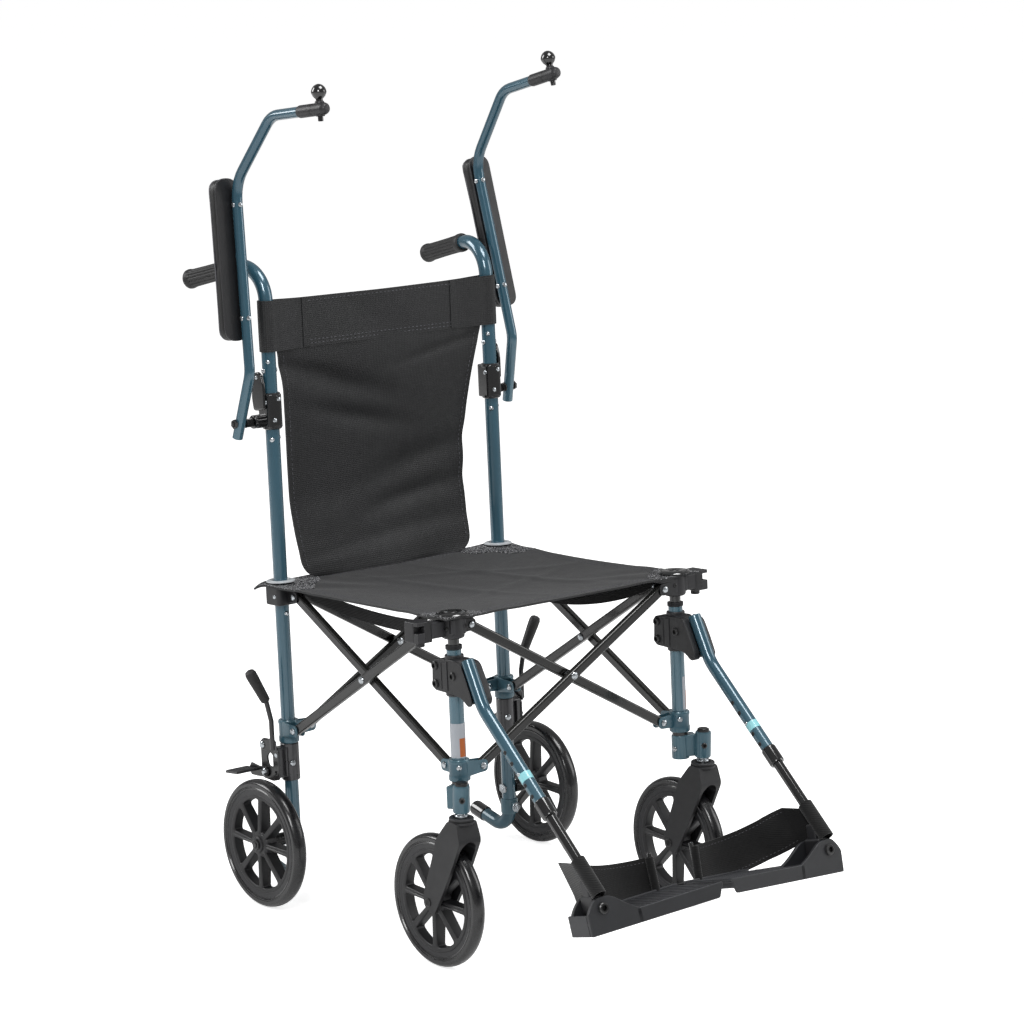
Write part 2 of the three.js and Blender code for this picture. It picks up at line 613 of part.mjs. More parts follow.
// ---------------------------------------------------------------- cloth
function seatSling() {
  const front = -SEAT_HALF + 6;
  const steps = 5;
  // each edge: start corner [x, y], inward bow at its middle [x, y]
  const edges = [
    [[-SEAT_HALF, front], [0, 8]],
    [[SEAT_HALF, front], [-14, 0]],
    [[SEAT_HALF, SEAT_HALF], [0, -10]],
    [[-SEAT_HALF, SEAT_HALF], [14, 0]],
  ];
  const outline = edges.flatMap(([start, bow], k) => {
    const [end] = edges[(k + 1) % edges.length];
    return Array.from({ length: steps }, (_, i) => {
      const t = i / steps;
      return [0, 1].map((j) => start[j] + (end[j] - start[j]) * t + bow[j] * 4 * t * (1 - t));
    });
  });
  const holes = [-POST_HALF, POST_HALF].flatMap((x) => [
    cylZ(13.2, 510, 530, ROUND, x, POST_HALF),
    cylZ(9, 510, 530, MEDIUM, x, -POST_HALF),
  ]);
  return cut(join(plateZ(outline, SEAT_Z, SEAT_Z + SEAT_T)), ...holes);
}
// upper band with a sleeve round each rear post, narrower cloth below
function backSling() {
  const y0 = POST_HALF - BACK_HALF_T;
  const y1 = POST_HALF + BACK_HALF_T;
  const lower = [
    [-178, 522], [178, 522], [192, 640], [196, 800],
    [200, SLEEVE_LOW + 2], [-200, SLEEVE_LOW + 2], [-196, 800], [-192, 640],
  ];
  const atPosts = (radius, z0, z1) =>
    [-POST_HALF, POST_HALF].map((x) => cylZ(radius, z0, z1, ROUND, x, POST_HALF));
  const back = join(
    box(-POST_HALF + 12, POST_HALF - 12, y0, y1, SLEEVE_LOW, BACK_TOP),
    ...atPosts(13.8, SLEEVE_LOW, BACK_TOP),
    plateY(lower, y0, y1),
  );
  return cut(back, ...atPosts(POST_R + 0.5, SLEEVE_LOW - 5, BACK_TOP + 5));
}

// ---------------------------------------------------------------- assembly
// armLean: backward lean of the raised arm
function addSide(name, sign, armLean) {
  const out = (distance) => sign * distance;
  const side = { sign, out };
  const add = (piece, shape, finish, parent) => part(`${name}_${piece}`, shape, finish, parent);

  const rear = frame(chair, sign * POST_HALF, POST_HALF);
  add('rear_post', rearPost(side), 'teal', rear);
  add('push_grip', pushGrip(side), 'grip', rear);
  // spring button in the front of the post, below the sliding corner
  add('snap_button', join(cylY(3.8, -14.5, -6, 0, BUTTON_Z, COARSE)), 'zinc', rear);
  add('rear_corner', rearCorner(side), 'plastic', rear);
  add('arm_collar', armCollar(side), 'plastic', rear);

  const arm = frame(rear, out(ARM_OUT), ARM_PIVOT_BACK, ARM_PIVOT_Z);
  arm.rotation.set(-armLean, -sign * ARM_TILT, 0, 'YXZ');
  add('arm_tube', armTube(), 'teal', arm);
  add('arm_pad', armPad(side), 'pad', arm);
  add('arm_plunger', armPlunger(), 'black', arm);

  add('brake_clamp', brakeClamp(side), 'black', rear);
  add('brake_lever', brakeLever(side), 'black', rear);
  add('brake_shoe', brakeShoe(side), 'black', rear);

  const rearAxle = frame(rear, out(REAR_WHEEL_OUT), 0, REAR_AXLE_Z);
  rearAxle.rotation.x = POST_LEAN;                      // square to the floor
  add('rear_tyre', tyre(REAR_WHEEL), 'rubber', rearAxle);
  add('rear_wheel', wheel(REAR_WHEEL), 'plastic', rearAxle);
  add('tipping_lever', tippingLever(), 'teal', rear);

  const front = frame(chair, sign * POST_HALF, -POST_HALF);
  add('front_post', frontPost(side), 'teal', front);
  add('front_corner', frontCorner(side), 'plastic', front);

  const caster = frame(front, ...stemFoot(out));
  caster.rotation.x = POST_LEAN;                        // square to the floor
  add('caster_fork', casterFork(), 'plastic', caster);
  add('caster_tyre', tyre(CASTER_WHEEL), 'rubber', caster).position.set(0, TRAIL, AXLE_Z);
  add('caster_wheel', wheel(CASTER_WHEEL), 'plastic', caster).position.set(0, TRAIL, AXLE_Z);

  add('hanger_clamp', hangerClamp(side), 'plastic', front);
  add('hanger_tube', hangerTube(side), 'teal', front);
  add('lower_tube', lowerTube(side), 'black', front);
  const plate = frame(front, ...platePivot(out));
  plate.rotation.copy(plateEuler(sign));
  add('footplate_bolt', footplateBolt(), 'zinc', plate);
  add('footplate', footplate(side), 'plastic', plate);
  add('heel_strap', heelStrap(side), 'cloth', plate);
}

const root = new THREE.Group();
const chair = frame(root, 0, FOOTPRINT_SHIFT, FRAME_DROP);   // post coordinates
chair.rotation.x = -POST_LEAN;

scissorPair('rear', 0, POST_HALF, false);
scissorPair('front', 0, -POST_HALF, false);
scissorPair('right', -POST_HALF, 0, true);
scissorPair('left', POST_HALF, 0, true);
addSide('right', -1, rad(5.15));
addSide('left', 1, rad(12));
part('seat_sling', seatSling(), 'cloth', chair);
part('back_sling', backSling(), 'cloth', chair);

export default root;
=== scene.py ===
"""Folding transport chair on two rear wheels and two casters, built over its CAD pieces.

The sitter faces -y, their right is -x and up is +z. Four posts stand at the corners of a
square and lean back. Shapes are in millimetres, in the frame of the post that carries them
(z up the post); `piece` turns them into metres. Cloth is drawn in the frame POST, whose
origin lies midway between the four posts' feet.
"""

import json
from math import acos, asin, atan2, cos, degrees, exp, hypot, pi, radians, sin, sqrt, tan

import bmesh
import bpy
import numpy as np
from mathutils import Matrix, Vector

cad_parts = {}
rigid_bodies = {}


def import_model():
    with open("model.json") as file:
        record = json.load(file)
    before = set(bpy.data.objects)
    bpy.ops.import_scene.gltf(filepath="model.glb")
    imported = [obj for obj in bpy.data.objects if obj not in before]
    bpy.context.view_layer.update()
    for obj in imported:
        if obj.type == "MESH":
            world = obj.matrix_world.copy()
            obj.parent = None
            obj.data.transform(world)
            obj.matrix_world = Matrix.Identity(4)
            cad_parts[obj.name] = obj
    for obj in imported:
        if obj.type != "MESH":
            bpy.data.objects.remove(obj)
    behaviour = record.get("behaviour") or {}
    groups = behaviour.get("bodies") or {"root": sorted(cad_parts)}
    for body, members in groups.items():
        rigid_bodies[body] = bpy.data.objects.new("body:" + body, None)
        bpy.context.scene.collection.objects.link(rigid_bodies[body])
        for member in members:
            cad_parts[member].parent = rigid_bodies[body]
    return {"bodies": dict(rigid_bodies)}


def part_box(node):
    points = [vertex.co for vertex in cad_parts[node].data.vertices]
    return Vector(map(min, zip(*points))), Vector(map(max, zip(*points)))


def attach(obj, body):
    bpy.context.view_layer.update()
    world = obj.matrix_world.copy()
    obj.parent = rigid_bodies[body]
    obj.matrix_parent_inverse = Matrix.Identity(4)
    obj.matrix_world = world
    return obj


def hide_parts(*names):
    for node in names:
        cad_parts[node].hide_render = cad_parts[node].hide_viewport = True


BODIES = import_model()["bodies"]
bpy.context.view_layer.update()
scene = bpy.context.scene

LEFT, RIGHT = (1, 0, 0), (-1, 0, 0)
REAR, FRONT = (0, 1, 0), (0, -1, 0)
UP, DOWN = (0, 0, 1), (0, 0, -1)

# ---------------------------------------------------------------- driving sizes, mm, degrees
LEAN = 3.93                 # the posts' lean to the rear
COS, SIN = cos(radians(LEAN)), sin(radians(LEAN))
HALF = 215                  # each post from the middle, along x and along y
POST_R = 11
BORE_R = 11.5               # mouldings that fit round a post
ORIGIN_Z = -0.82            # the posts' origin from the floor
WHEEL_R = 100.467           # of all four wheels, and so the height of their axles
REAR_WHEEL_Y = 222.466      # rear axle behind the posts' origin, along the floor
AXLE_Z = (WHEEL_R - ORIGIN_Z + HALF * SIN) / COS     # rear axle up the rear post
STEM_FLOOR_Y = -225.8       # where the caster stem's line meets the floor
STEM = (21, STEM_FLOOR_Y * COS + ORIGIN_Z * SIN + HALF, STEM_FLOOR_Y * SIN - ORIGIN_Z * COS)
CASTER_TRAIL = 54           # caster axle behind its stem
LOW_Z, HIGH_Z = 290, 499    # scissor hinges: fixed ones below, sliding corners above
HINGE = 33                  # scissor hinge from its post's axis
LAYER = 6.8                 # each bar of a pair from the posts' plane
PIN_X, PIN_Y, PIN_Z = 48.5, 15.5, 770                # arm pivot from the rear post
PIN_TILT = 2.2
ARM_TIP = (0, -266, 458)    # plunger, in the arm's frame
GRIP_START = 66             # push grip from the handle's bend


# ---------------------------------------------------------------- frames
def move(x, y, z):
    matrix = np.eye(4)
    matrix[:3, 3] = (x, y, z)
    return matrix


def turn(axis, angle):
    return np.array(Matrix.Rotation(radians(angle), 4, axis))


def unit(vector):
    vector = np.asarray(vector, float)
    return vector / max(np.linalg.norm(vector), 1e-12)


def aim(point, direction):
    """Frame at the point with its z along the direction."""
    z = unit(direction)
    x = unit(np.cross([0.2, 1, 0.1] if abs(z[1]) < 0.9 else [1, 0, 0], z))
    matrix = np.eye(4)
    matrix[:3, 0], matrix[:3, 1], matrix[:3, 2], matrix[:3, 3] = x, np.cross(z, x), z, point
    return matrix


def centre(cad_name):
    lo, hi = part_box(cad_name)
    return np.array((lo + hi) / 2) * 1000


right_tyre, left_tyre = centre("right_rear_tyre"), centre("left_rear_tyre")
POST = move((right_tyre[0] + left_tyre[0]) / 2, right_tyre[1] - REAR_WHEEL_Y, ORIGIN_Z)
POST = POST @ turn("X", -LEAN)


class Side:
    """One side of the chair: its name, its outward sign along x and its bodies' frames."""

    def __init__(self, name, out, arm_lean):
        self.name, self.out = name, out
        rear = POST @ move(out * HALF, HALF, 0)
        front = POST @ move(out * HALF, -HALF, 0)
        self.pin = move(out * PIN_X, PIN_Y, PIN_Z) @ turn("Y", -out * PIN_TILT)
        self.stem = move(out * STEM[0], STEM[1], STEM[2]) @ turn("X", LEAN)
        arm = rear @ self.pin @ turn("X", -arm_lean)
        fork = front @ self.stem
        footplate = front @ move(out * 2, -301, 134)
        footplate = footplate @ turn("Z", out * 5) @ turn("X", -12) @ turn("Y", out * 4)
        self.frame = {
            "rear_frame": rear, "rear_corner_body": rear, "button": rear,
            "brake_arm": rear, "brake_pad": rear, "arm": arm, "plunger": arm,
            "rear_rolling": rear @ move(out * 57, 0, AXLE_Z) @ turn("X", LEAN),
            "front_frame": front, "front_corner_body": front, "hanger": front, "lower": front,
            "fork": fork, "caster_rolling": fork @ move(0, CASTER_TRAIL, WHEEL_R),
            "plate": footplate}

    def add(self, name, body, shells, mat, at=None, **options):
        """Make a piece of this side, in its body's frame unless another is given."""
        at = self.frame[body] if at is None else at
        return piece(f"{self.name}_{name}", f"{self.name}_{body}", at, shells, mat, **options)


SIDES = Side("right", -1, 5.15), Side("left", 1, 12.0)


# ---------------------------------------------------------------- materials
def node(tree, kind, inputs=None, **settings):
    """A new node; each input takes a value or a link from another node's socket."""
    made = tree.nodes.new(kind)
    for key, value in settings.items():
        setattr(made, key, value)
    for key, value in (inputs or {}).items():
        if isinstance(value, bpy.types.NodeSocket):
            tree.links.new(value, made.inputs[key])
        else:
            made.inputs[key].default_value = value
    return made


def linear(code):
    """RGBA in linear light from a hex sRGB code."""
    parts = [int(code[k:k + 2], 16) / 255 for k in (0, 2, 4)]
    return (*[c / 12.92 if c <= 0.04045 else ((c + 0.055) / 1.055) ** 2.4 for c in parts], 1)


def material(name, colour, rough, rough_vary=0.12, metal=0.0, coat=0.0, sheen=0.0,
             spec=0.5, vary=0.12, vary_scale=18, second=None, grain=2e-5, grain_scale=900,
             weave="", weave_mm=3.0, weave_depth=0.00048, wear=None, wear_amount=0.3,
             speckle=0.0):
    """Material on object coordinates in metres: drifting colour, fine grain, and optional woven
    threads (bumped, with painted shade between them and painted light on their tops), speckles
    and lightened worn edges."""
    mat = bpy.data.materials.new(name)
    mat.use_nodes = True
    tree = mat.node_tree
    bsdf = tree.nodes["Principled BSDF"]

    def shade(kind, inputs, **settings):
        return node(tree, "ShaderNode" + kind, inputs, **settings)

    place = shade("TexCoord", {}).outputs["Object"]

    def noise(scale, detail):
        made = shade("TexNoise", {"Vector": place, "Scale": scale, "Detail": detail})
        return made.outputs["Fac"]

    def ramp(factor, low, high, low_colour, high_colour):
        made = shade("ValToRGB", {"Fac": factor})
        first, last = made.color_ramp.elements
        first.position, last.position = low, high
        first.color, last.color = low_colour, high_colour
        return made.outputs["Color"]

    def mixed(factor, first, second, **settings):
        inputs = {"Factor": factor, "A": first, "B": second}
        return shade("Mix", inputs, data_type="RGBA", **settings).outputs["Result"]

    def scaled(socket, amount):
        return shade("Math", {0: socket, 1: amount}, operation="MULTIPLY").outputs[0]

    def raised(height, socket, amount):
        return shade("Math", {0: height, 1: scaled(socket, amount)}).outputs[0]

    base = linear(colour)
    dark = (*[c * (1 - vary) for c in base[:3]], 1)
    light = linear(second) if second else (*[min(1, c * (1 + vary)) for c in base[:3]], 1)
    shown = ramp(noise(vary_scale, 5), 0.3, 0.72, dark, light)
    height = scaled(noise(grain_scale, 3), grain)
    if weave:
        threads = []
        for axis in weave:
            wave = shade("TexWave", {
                "Vector": place, "Scale": 2 * pi / (20 * weave_mm / 1000),
                "Distortion": 0.3, "Detail": 1, "Detail Scale": 2},
                wave_type="BANDS", bands_direction=axis)
            threads.append(wave.outputs["Fac"])
        cloth = scaled(threads[0], threads[1] if len(threads) > 1 else 1.0)
        height = raised(height, cloth, weave_depth)
        # Painted shade in the gaps between the threads and painted light on their tops,
        # multiplied into the colour.
        thread_shade_and_light = shade("MapRange", {"Value": cloth, "To Min": 0.55, "To Max": 1.35})
        shown = mixed(0.6, shown, thread_shade_and_light.outputs[0], blend_type="MULTIPLY")
    if speckle:
        cells = shade("TexVoronoi", {"Vector": place, "Scale": 420})
        dots = shade("Math", {0: cells.outputs["Distance"], 1: 0.34},
                     operation="LESS_THAN").outputs[0]
        shown = mixed(dots, shown, (speckle, speckle, speckle * 1.03, 1))
        height = raised(height, dots, 0.0002)
    if wear:
        edges = shade("NewGeometry", {}).outputs["Pointiness"]
        worn = ramp(edges, 0.515, 0.60, (0, 0, 0, 1), (*[wear_amount] * 3, 1))
        shown = mixed(worn, shown, linear(wear))
    roughness = shade("MapRange", {
        "Value": noise(60, 4), "To Min": max(0.02, rough - rough_vary),
        "To Max": min(1.0, rough + rough_vary)})
    bump = shade("Bump", {"Strength": 1.0, "Distance": 1.0, "Height": height})
    tree.links.new(shown, bsdf.inputs["Base Color"])
    tree.links.new(roughness.outputs[0], bsdf.inputs["Roughness"])
    tree.links.new(bump.outputs[0], bsdf.inputs["Normal"])
    for key, value in (("Metallic", metal), ("Coat Weight", coat), ("Coat Roughness", 0.06),
                       ("Sheen Weight", sheen), ("Specular IOR Level", spec)):
        bsdf.inputs[key].default_value = value
    mat.diffuse_color = base
    return mat


TEAL = material(
    "teal_enamel", "2d5262", rough=0.22, metal=0.25, coat=0.8, vary=0.06,
    vary_scale=9, grain_scale=420, wear="8fb0ba", wear_amount=0.21, rough_vary=0.05)
TEAL_CAST = material(
    "teal_cast_enamel", "2b4f5d", rough=0.34, metal=0.2, coat=0.5, vary_scale=40,
    grain=6e-5, grain_scale=500, wear="86a6b0", wear_amount=0.27, rough_vary=0.08)
BAR = material(
    "bar_coating", "060606", rough=0.24, metal=0.15, coat=0.4, vary=0.18,
    vary_scale=30, grain=3e-5, wear="8a8a86", rough_vary=0.1)
ENAMEL = material(
    "black_enamel", "040405", rough=0.12, metal=0.1, coat=0.9, vary=0.2,
    vary_scale=14, grain_scale=500, wear="5b5b5d", wear_amount=0.18, rough_vary=0.05)
BLACK_STEEL = material(
    "black_steel", "0d0d0f", rough=0.3, metal=0.3, coat=0.4, vary=0.2,
    vary_scale=40, grain=4e-5, grain_scale=700, wear="86868a", rough_vary=0.1)
PLASTIC = material(
    "moulded_plastic", "121214", rough=0.42, vary_scale=26, grain=6e-5,
    grain_scale=1500, wear="6a6a70", wear_amount=0.18, rough_vary=0.08)
FORK_PLASTIC = material(
    "fork_plastic", "101012", rough=0.5, vary_scale=22, grain=5e-5,
    grain_scale=1300, wear="67676c", wear_amount=0.17, rough_vary=0.08)
PLATE_PLASTIC = material(
    "footplate_plastic", "1b1c1f", rough=0.5, vary=0.16, vary_scale=22,
    grain=7e-5, grain_scale=1300, wear="77787c", wear_amount=0.21, rough_vary=0.1)
WHEEL_PLASTIC = material(
    "wheel_plastic", "131315", rough=0.46, vary=0.1, vary_scale=24,
    grain=5e-5, grain_scale=1200, wear="66666a", wear_amount=0.18, rough_vary=0.08)
TYRE_RUBBER = material(
    "tyre_rubber", "0d0d0f", rough=0.27, coat=0.3, vary=0.14, vary_scale=30,
    grain=4e-5, grain_scale=1000, second="19191b", rough_vary=0.1)
GRIP_RUBBER = material(
    "grip_rubber", "0f0f10", rough=0.55, vary=0.14, vary_scale=40, grain=12e-5,
    grain_scale=1100, wear="57575a", wear_amount=0.15)
ZINC = material(
    "zinc_plate", "b9bec2", rough=0.24, metal=1.0, vary_scale=120, grain=3e-5,
    rough_vary=0.1)
GROMMET = material(
    "grommet_plate", "c6cacd", rough=0.34, metal=0.45, vary_scale=120, grain=3e-5,
    rough_vary=0.08)
DARK_STEEL = material(
    "dark_steel", "121213", rough=0.3, metal=0.7, vary=0.2, vary_scale=120, grain=3e-5,
    wear="8c8c8c", wear_amount=0.24)
SEAT_CLOTH = material(
    "seat_cloth", "101114", rough=0.68, sheen=0.11, vary=0.16, vary_scale=13,
    grain=8e-5, grain_scale=1600, weave="XY")
BACK_CLOTH = material(
    "back_cloth", "06070a", rough=0.58, sheen=0.04, vary=0.2, vary_scale=11,
    grain=8e-5, grain_scale=1600, weave="XZ")
THREAD = material(
    "thread", "55555a", rough=0.8, vary=0.2, vary_scale=300, grain=8e-5,
    grain_scale=2000)
PATCH = material(
    "corner_patch", "1a1b1d", rough=0.7, vary=0.2, vary_scale=60, grain=1e-4,
    grain_scale=1500, speckle=0.45)
WEBBING = material(
    "webbing", "080809", rough=0.82, sheen=0.2, vary=0.2, vary_scale=30, grain=1e-4,
    grain_scale=1600, weave="Z", weave_mm=2.6, weave_depth=0.00035, spec=0.3)
PAD_SKIN = material(
    "pad_skin", "0d0d0f", rough=0.48, vary=0.16, vary_scale=24, grain=12e-5,
    grain_scale=700, rough_vary=0.1, wear="505055", wear_amount=0.15)
# Real welt cord, but its pale grey colour is a painted highlight along the pad's edge.
WELT_PAINTED_HIGHLIGHT = material(
    "pad_welt", "5c5c60", rough=0.32, vary=0.1, vary_scale=60, grain=4e-5)
SLEEVE = material("blank_sleeve", "9fa3a9", rough=0.4, vary=0.05, vary_scale=40)
ORANGE = material("plain_orange_film", "a5561f", rough=0.4, vary=0.06, vary_scale=40)
CYAN = material("pale_band", "8fcdd4", rough=0.3, vary=0.06, vary_scale=60, coat=0.4)


# ---------------------------------------------------------------- shells: (points, faces)
def moved(shell, matrix):
    verts, faces = shell
    return verts @ matrix[:3, :3].T + matrix[:3, 3], faces


def merge(shells):
    verts, faces, start = [], [], 0
    for points, loops in shells:
        verts.append(points)
        faces += [tuple(i + start for i in loop) for loop in loops]
        start += len(points)
    return np.vstack(verts), faces


def add_object(name, data):
    obj = bpy.data.objects.new(name, data)
    scene.collection.objects.link(obj)
    return obj


def evaluated_mesh(obj):
    depsgraph = bpy.context.evaluated_depsgraph_get()
    return bpy.data.meshes.new_from_object(obj.evaluated_get(depsgraph))


def outward_mesh(name, verts, faces):
    """Mesh whose faces all look outwards."""
    mesh = bpy.data.meshes.new(name)
    mesh.from_pydata(verts.tolist(), [], faces)
    bm = bmesh.new()
    bm.from_mesh(mesh)
    bmesh.ops.recalc_face_normals(bm, faces=bm.faces)
    bm.to_mesh(mesh)
    bm.free()
    return mesh


def shell_from_bmesh(bm):
    bm.verts.index_update()
    verts = np.array([vert.co for vert in bm.verts], float)
    faces = [tuple(vert.index for vert in face.verts) for face in bm.faces]
    bm.free()
    return verts, faces


def shell_from_mesh(mesh):
    verts = np.array([vert.co for vert in mesh.vertices], float)
    return verts, [tuple(face.vertices) for face in mesh.polygons]


def strip(start, n, size):
    """Quads joining n + 1 closed sections of `size` points, numbered from start."""
    return [(start + i * size + k, start + i * size + (k + 1) % size,
             start + (i + 1) * size + (k + 1) % size, start + (i + 1) * size + k)
            for i in range(n) for k in range(size)]


def centreline(points, fillets):
    """Places and tangents along a polyline whose corners are arcs of the given radii."""
    points = [np.array(p, float) for p in points]
    places, tangents = [points[0]], [unit(points[1] - points[0])]
    for before, corner, after, radius in zip(points, points[1:], points[2:], fillets):
        into, onward = unit(corner - before), unit(after - corner)
        angle = acos(max(-1, min(1, into @ onward)))
        start = corner - into * (radius * tan(angle / 2))
        axis = unit(np.cross(into, onward))
        middle = start + np.cross(axis, into) * radius
        steps = max(3, int(degrees(angle) / 7))
        for k in range(steps + 1):
            rotation = np.array(Matrix.Rotation(angle * k / steps, 3, axis.tolist()))
            places.append(middle + rotation @ (start - middle))
            tangents.append(rotation @ into)
    places.append(points[-1])
    tangents.append(unit(points[-1] - points[-2]))
    return places, tangents


def sweep(points, fillets, radius, n=28, bores=(0, 0)):
    """Round bar along a filleted line; an end with a bore depth is an open tube mouth."""
    places, tangents = centreline(points, fillets)
    wall, rounding = 1.4, 1.2

    def end(place, inward, bore):
        # Stations from the outside in.
        if bore:
            return [(place + inward * bore, radius - wall), (place, radius - wall),
                    (place, radius - 0.35), (place + inward * 0.35, radius)]
        return [(place + inward * rounding * (1 - cos(a)), radius - rounding + rounding * sin(a))
                for a in (0, 0.5, 1.0, pi / 2)]

    first = end(places[0], tangents[0], bores[0])
    last = end(places[-1], -tangents[-1], bores[1])[::-1]
    stations = first + [(place, radius) for place in places[1:-1]] + last
    tangents = [tangents[0]] * len(first) + tangents[1:-1] + [tangents[-1]] * len(last)
    angles = [2 * pi * k / n for k in range(n)]
    side = unit(np.cross(tangents[0], LEFT))
    verts = []
    for (place, ring_r), tangent in zip(stations, tangents):
        side = unit(side - tangent * (side @ tangent))
        other = np.cross(tangent, side)
        verts += [place + side * (ring_r * cos(a)) + other * (ring_r * sin(a)) for a in angles]
    last_ring = (len(stations) - 1) * n
    faces = strip(0, len(stations) - 1, n)
    faces += [tuple(range(n))[::-1], tuple(last_ring + k for k in range(n))]
    return np.array(verts), faces


def lathe(profile, n=40, at=None, flute=0, closed=False):
    """Shell turned about z from (radius, height[, share of flute]) rows, 16 flutes."""
    verts, faces, rows = [], [], []
    for radius, height, *share in profile:
        if radius < 1e-6:
            rows.append([len(verts)] * n)
            verts.append((0, 0, height))
            continue
        rows.append(list(range(len(verts), len(verts) + n)))
        depth = share[0] * flute if share else 0
        for i in range(n):
            angle = 2 * pi * i / n
            fluted = radius - depth * (0.5 + 0.5 * cos(16 * angle)) ** 3
            verts.append((fluted * cos(angle), fluted * sin(angle), height))
    for low, high in zip(rows, rows[1:] + (rows[:1] if closed else [])):
        for k in range(n):
            after = (k + 1) % n
            face = tuple(dict.fromkeys((low[k], low[after], high[after], high[k])))
            if len(face) > 2:
                faces.append(face)
    shell = np.array(verts, float), faces
    return shell if at is None else moved(shell, at)


def ring(profile, n=40, at=None):
    """Lathe whose profile closes on itself."""
    return lathe(profile, n, at, closed=True)


def rod(point, direction, radius, length, edge=0.8, n=32):
    """Cylinder from the point along the direction, with rounded rims."""
    start = [(0, 0), (radius - edge, 0), (radius - edge * 0.3, edge * 0.3), (radius, edge)]
    finish = [(r, length - z) for r, z in reversed(start)]
    return lathe(start + finish, n, aim(point, direction))


def dome(point, direction, radius, height=2.2):
    rows = [(0, 0), (1, 0), (1, 0.25), (0.86, 0.68), (0.55, 0.93), (0, 1)]
    return lathe([(radius * r, height * z) for r, z in rows], 20, aim(point, direction))


def cap_screw(point, direction, radius, height):
    """Screw head with a recessed socket."""
    rows = [(0, 0.35), (0.42, 0.35), (0.5, 0.95), (0.82, 1), (1, 0.72), (1, 0), (0, 0)]
    return lathe([(radius * r, height * z) for r, z in rows], 18, aim(point, direction))


def nut(point, direction, radius, height):
    """Hexagon with the end of its bolt showing."""
    rows = [(0, 0), (radius, 0), (radius, height * 0.75), (radius * 0.82, height),
            (radius * 0.5, height), (radius * 0.45, height + 1.2), (0, height + 1.6)]
    return lathe(rows, 6, aim(point, direction))


def rounded(points, radii, n=5):
    """Closed outline with its corners rounded, by one radius or one for each corner."""
    outline, count = [], len(points)
    for i in range(count):
        radius = radii[i] if isinstance(radii, (list, tuple)) else radii
        corner, before, after = (np.array(points[j % count], float) for j in (i, i - 1, i + 1))
        to_before, to_after = np.linalg.norm(before - corner), np.linalg.norm(after - corner)
        cut = min(radius, to_before * 0.47, to_after * 0.47)
        if cut < 0.05:
            outline.append(tuple(corner))
            continue
        start = corner + (before - corner) / to_before * cut
        finish = corner + (after - corner) / to_after * cut
        for k in range(n + 1):
            t = k / n
            outline.append(tuple(
                (1 - t) ** 2 * start + 2 * t * (1 - t) * corner + t * t * finish))
    return outline


def circle(x, y, radius, n=20):
    return [(x + radius * cos(2 * pi * k / n), y + radius * sin(2 * pi * k / n))
            for k in range(n)]


def arc(x, y, radius, start, stop):
    return [(x + radius * cos(a), y + radius * sin(a)) for a in np.linspace(start, stop, 9)]


def outwards(out, points):
    """Outline drawn with x outwards, turned to the side's own x."""
    return [(out * x, y) for x, y in points]


def plate(outline, start, stop, axis="y", bevel=1.0, holes=(), res=2):
    """Flat plate with rounded edges between two places along the axis.

    The outline is (y, z), (x, z) or (x, y) for axis x, y or z."""
    start, stop = min(start, stop), max(start, stop)
    bevel = min(bevel, (stop - start) * 0.49)
    curve = bpy.data.curves.new("tmp", "CURVE")
    curve.dimensions, curve.fill_mode = "2D", "BOTH"
    for loop in (outline, *holes):
        spline = curve.splines.new("POLY")
        spline.points.add(len(loop) - 1)
        for i, (x, y) in enumerate(loop):
            spline.points[i].co = (x, y, 0, 1)
        spline.use_cyclic_u = True
    curve.extrude, curve.offset = (stop - start) / 2 - bevel, -bevel
    curve.bevel_depth, curve.bevel_resolution = bevel, res
    obj = add_object("tmp", curve)
    mesh = evaluated_mesh(obj)
    bm = bmesh.new()
    bm.from_mesh(mesh)
    bmesh.ops.remove_doubles(bm, verts=bm.verts, dist=0.004)
    verts, faces = shell_from_bmesh(bm)
    bpy.data.objects.remove(obj)
    bpy.data.curves.remove(curve)
    bpy.data.meshes.remove(mesh)
    along = verts[:, 2] + (start + stop) / 2
    return np.insert(verts[:, :2], "xyz".index(axis), along, axis=1), faces


def block(x0, x1, y0, y1, z0, z1, bevel=1.5, seg=3):
    """Box with rounded edges."""
    low, high = np.sort([(x0, x1), (y0, y1), (z0, z1)], axis=1).T
    size = high - low
    bm = bmesh.new()
    bmesh.ops.create_cube(bm, size=1)
    for vert in bm.verts:
        vert.co = (np.array(vert.co) + 0.5) * size + low
    bevel = min(bevel, 0.49 * min(size))
    bmesh.ops.bevel(bm, geom=list(bm.edges), offset=bevel, segments=seg, profile=0.5,
                    affect="EDGES")
    return shell_from_bmesh(bm)


# ---------------------------------------------------------------- pieces
def piece(name, body, frame, shells, mat, replaces=None, smooth=None, attrs=None):
    """Object from shells in mm, riding on a body.

    A name ending in _v stands in for the CAD piece of the same name without it. Soft pieces
    give the angle up to which they are smooth; hard ones get weighted normals."""
    verts, faces = moved(merge(shells), frame)
    mesh = outward_mesh(name, verts / 1000, faces)
    mesh.update()
    mesh.polygons.foreach_set("use_smooth", [True] * len(mesh.polygons))
    mesh.set_sharp_from_angle(angle=radians(smooth or 34))
    mesh.materials.append(mat)
    for key, values in (attrs or {}).items():
        values = np.asarray(values, np.float32)
        kind, field = ("FLOAT_VECTOR", "vector") if values.ndim == 2 else ("FLOAT", "value")
        mesh.attributes.new(key, kind, "POINT").data.foreach_set(field, values.ravel())
    obj = add_object(name, mesh)
    if not smooth:
        modifier = obj.modifiers.new("face_normals", "WEIGHTED_NORMAL")
        modifier.weight, modifier.keep_sharp = 60, True
    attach(obj, body)
    if name.endswith("_v"):
        replaces = name[:-2]
    if replaces:
        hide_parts(replaces)
    return obj


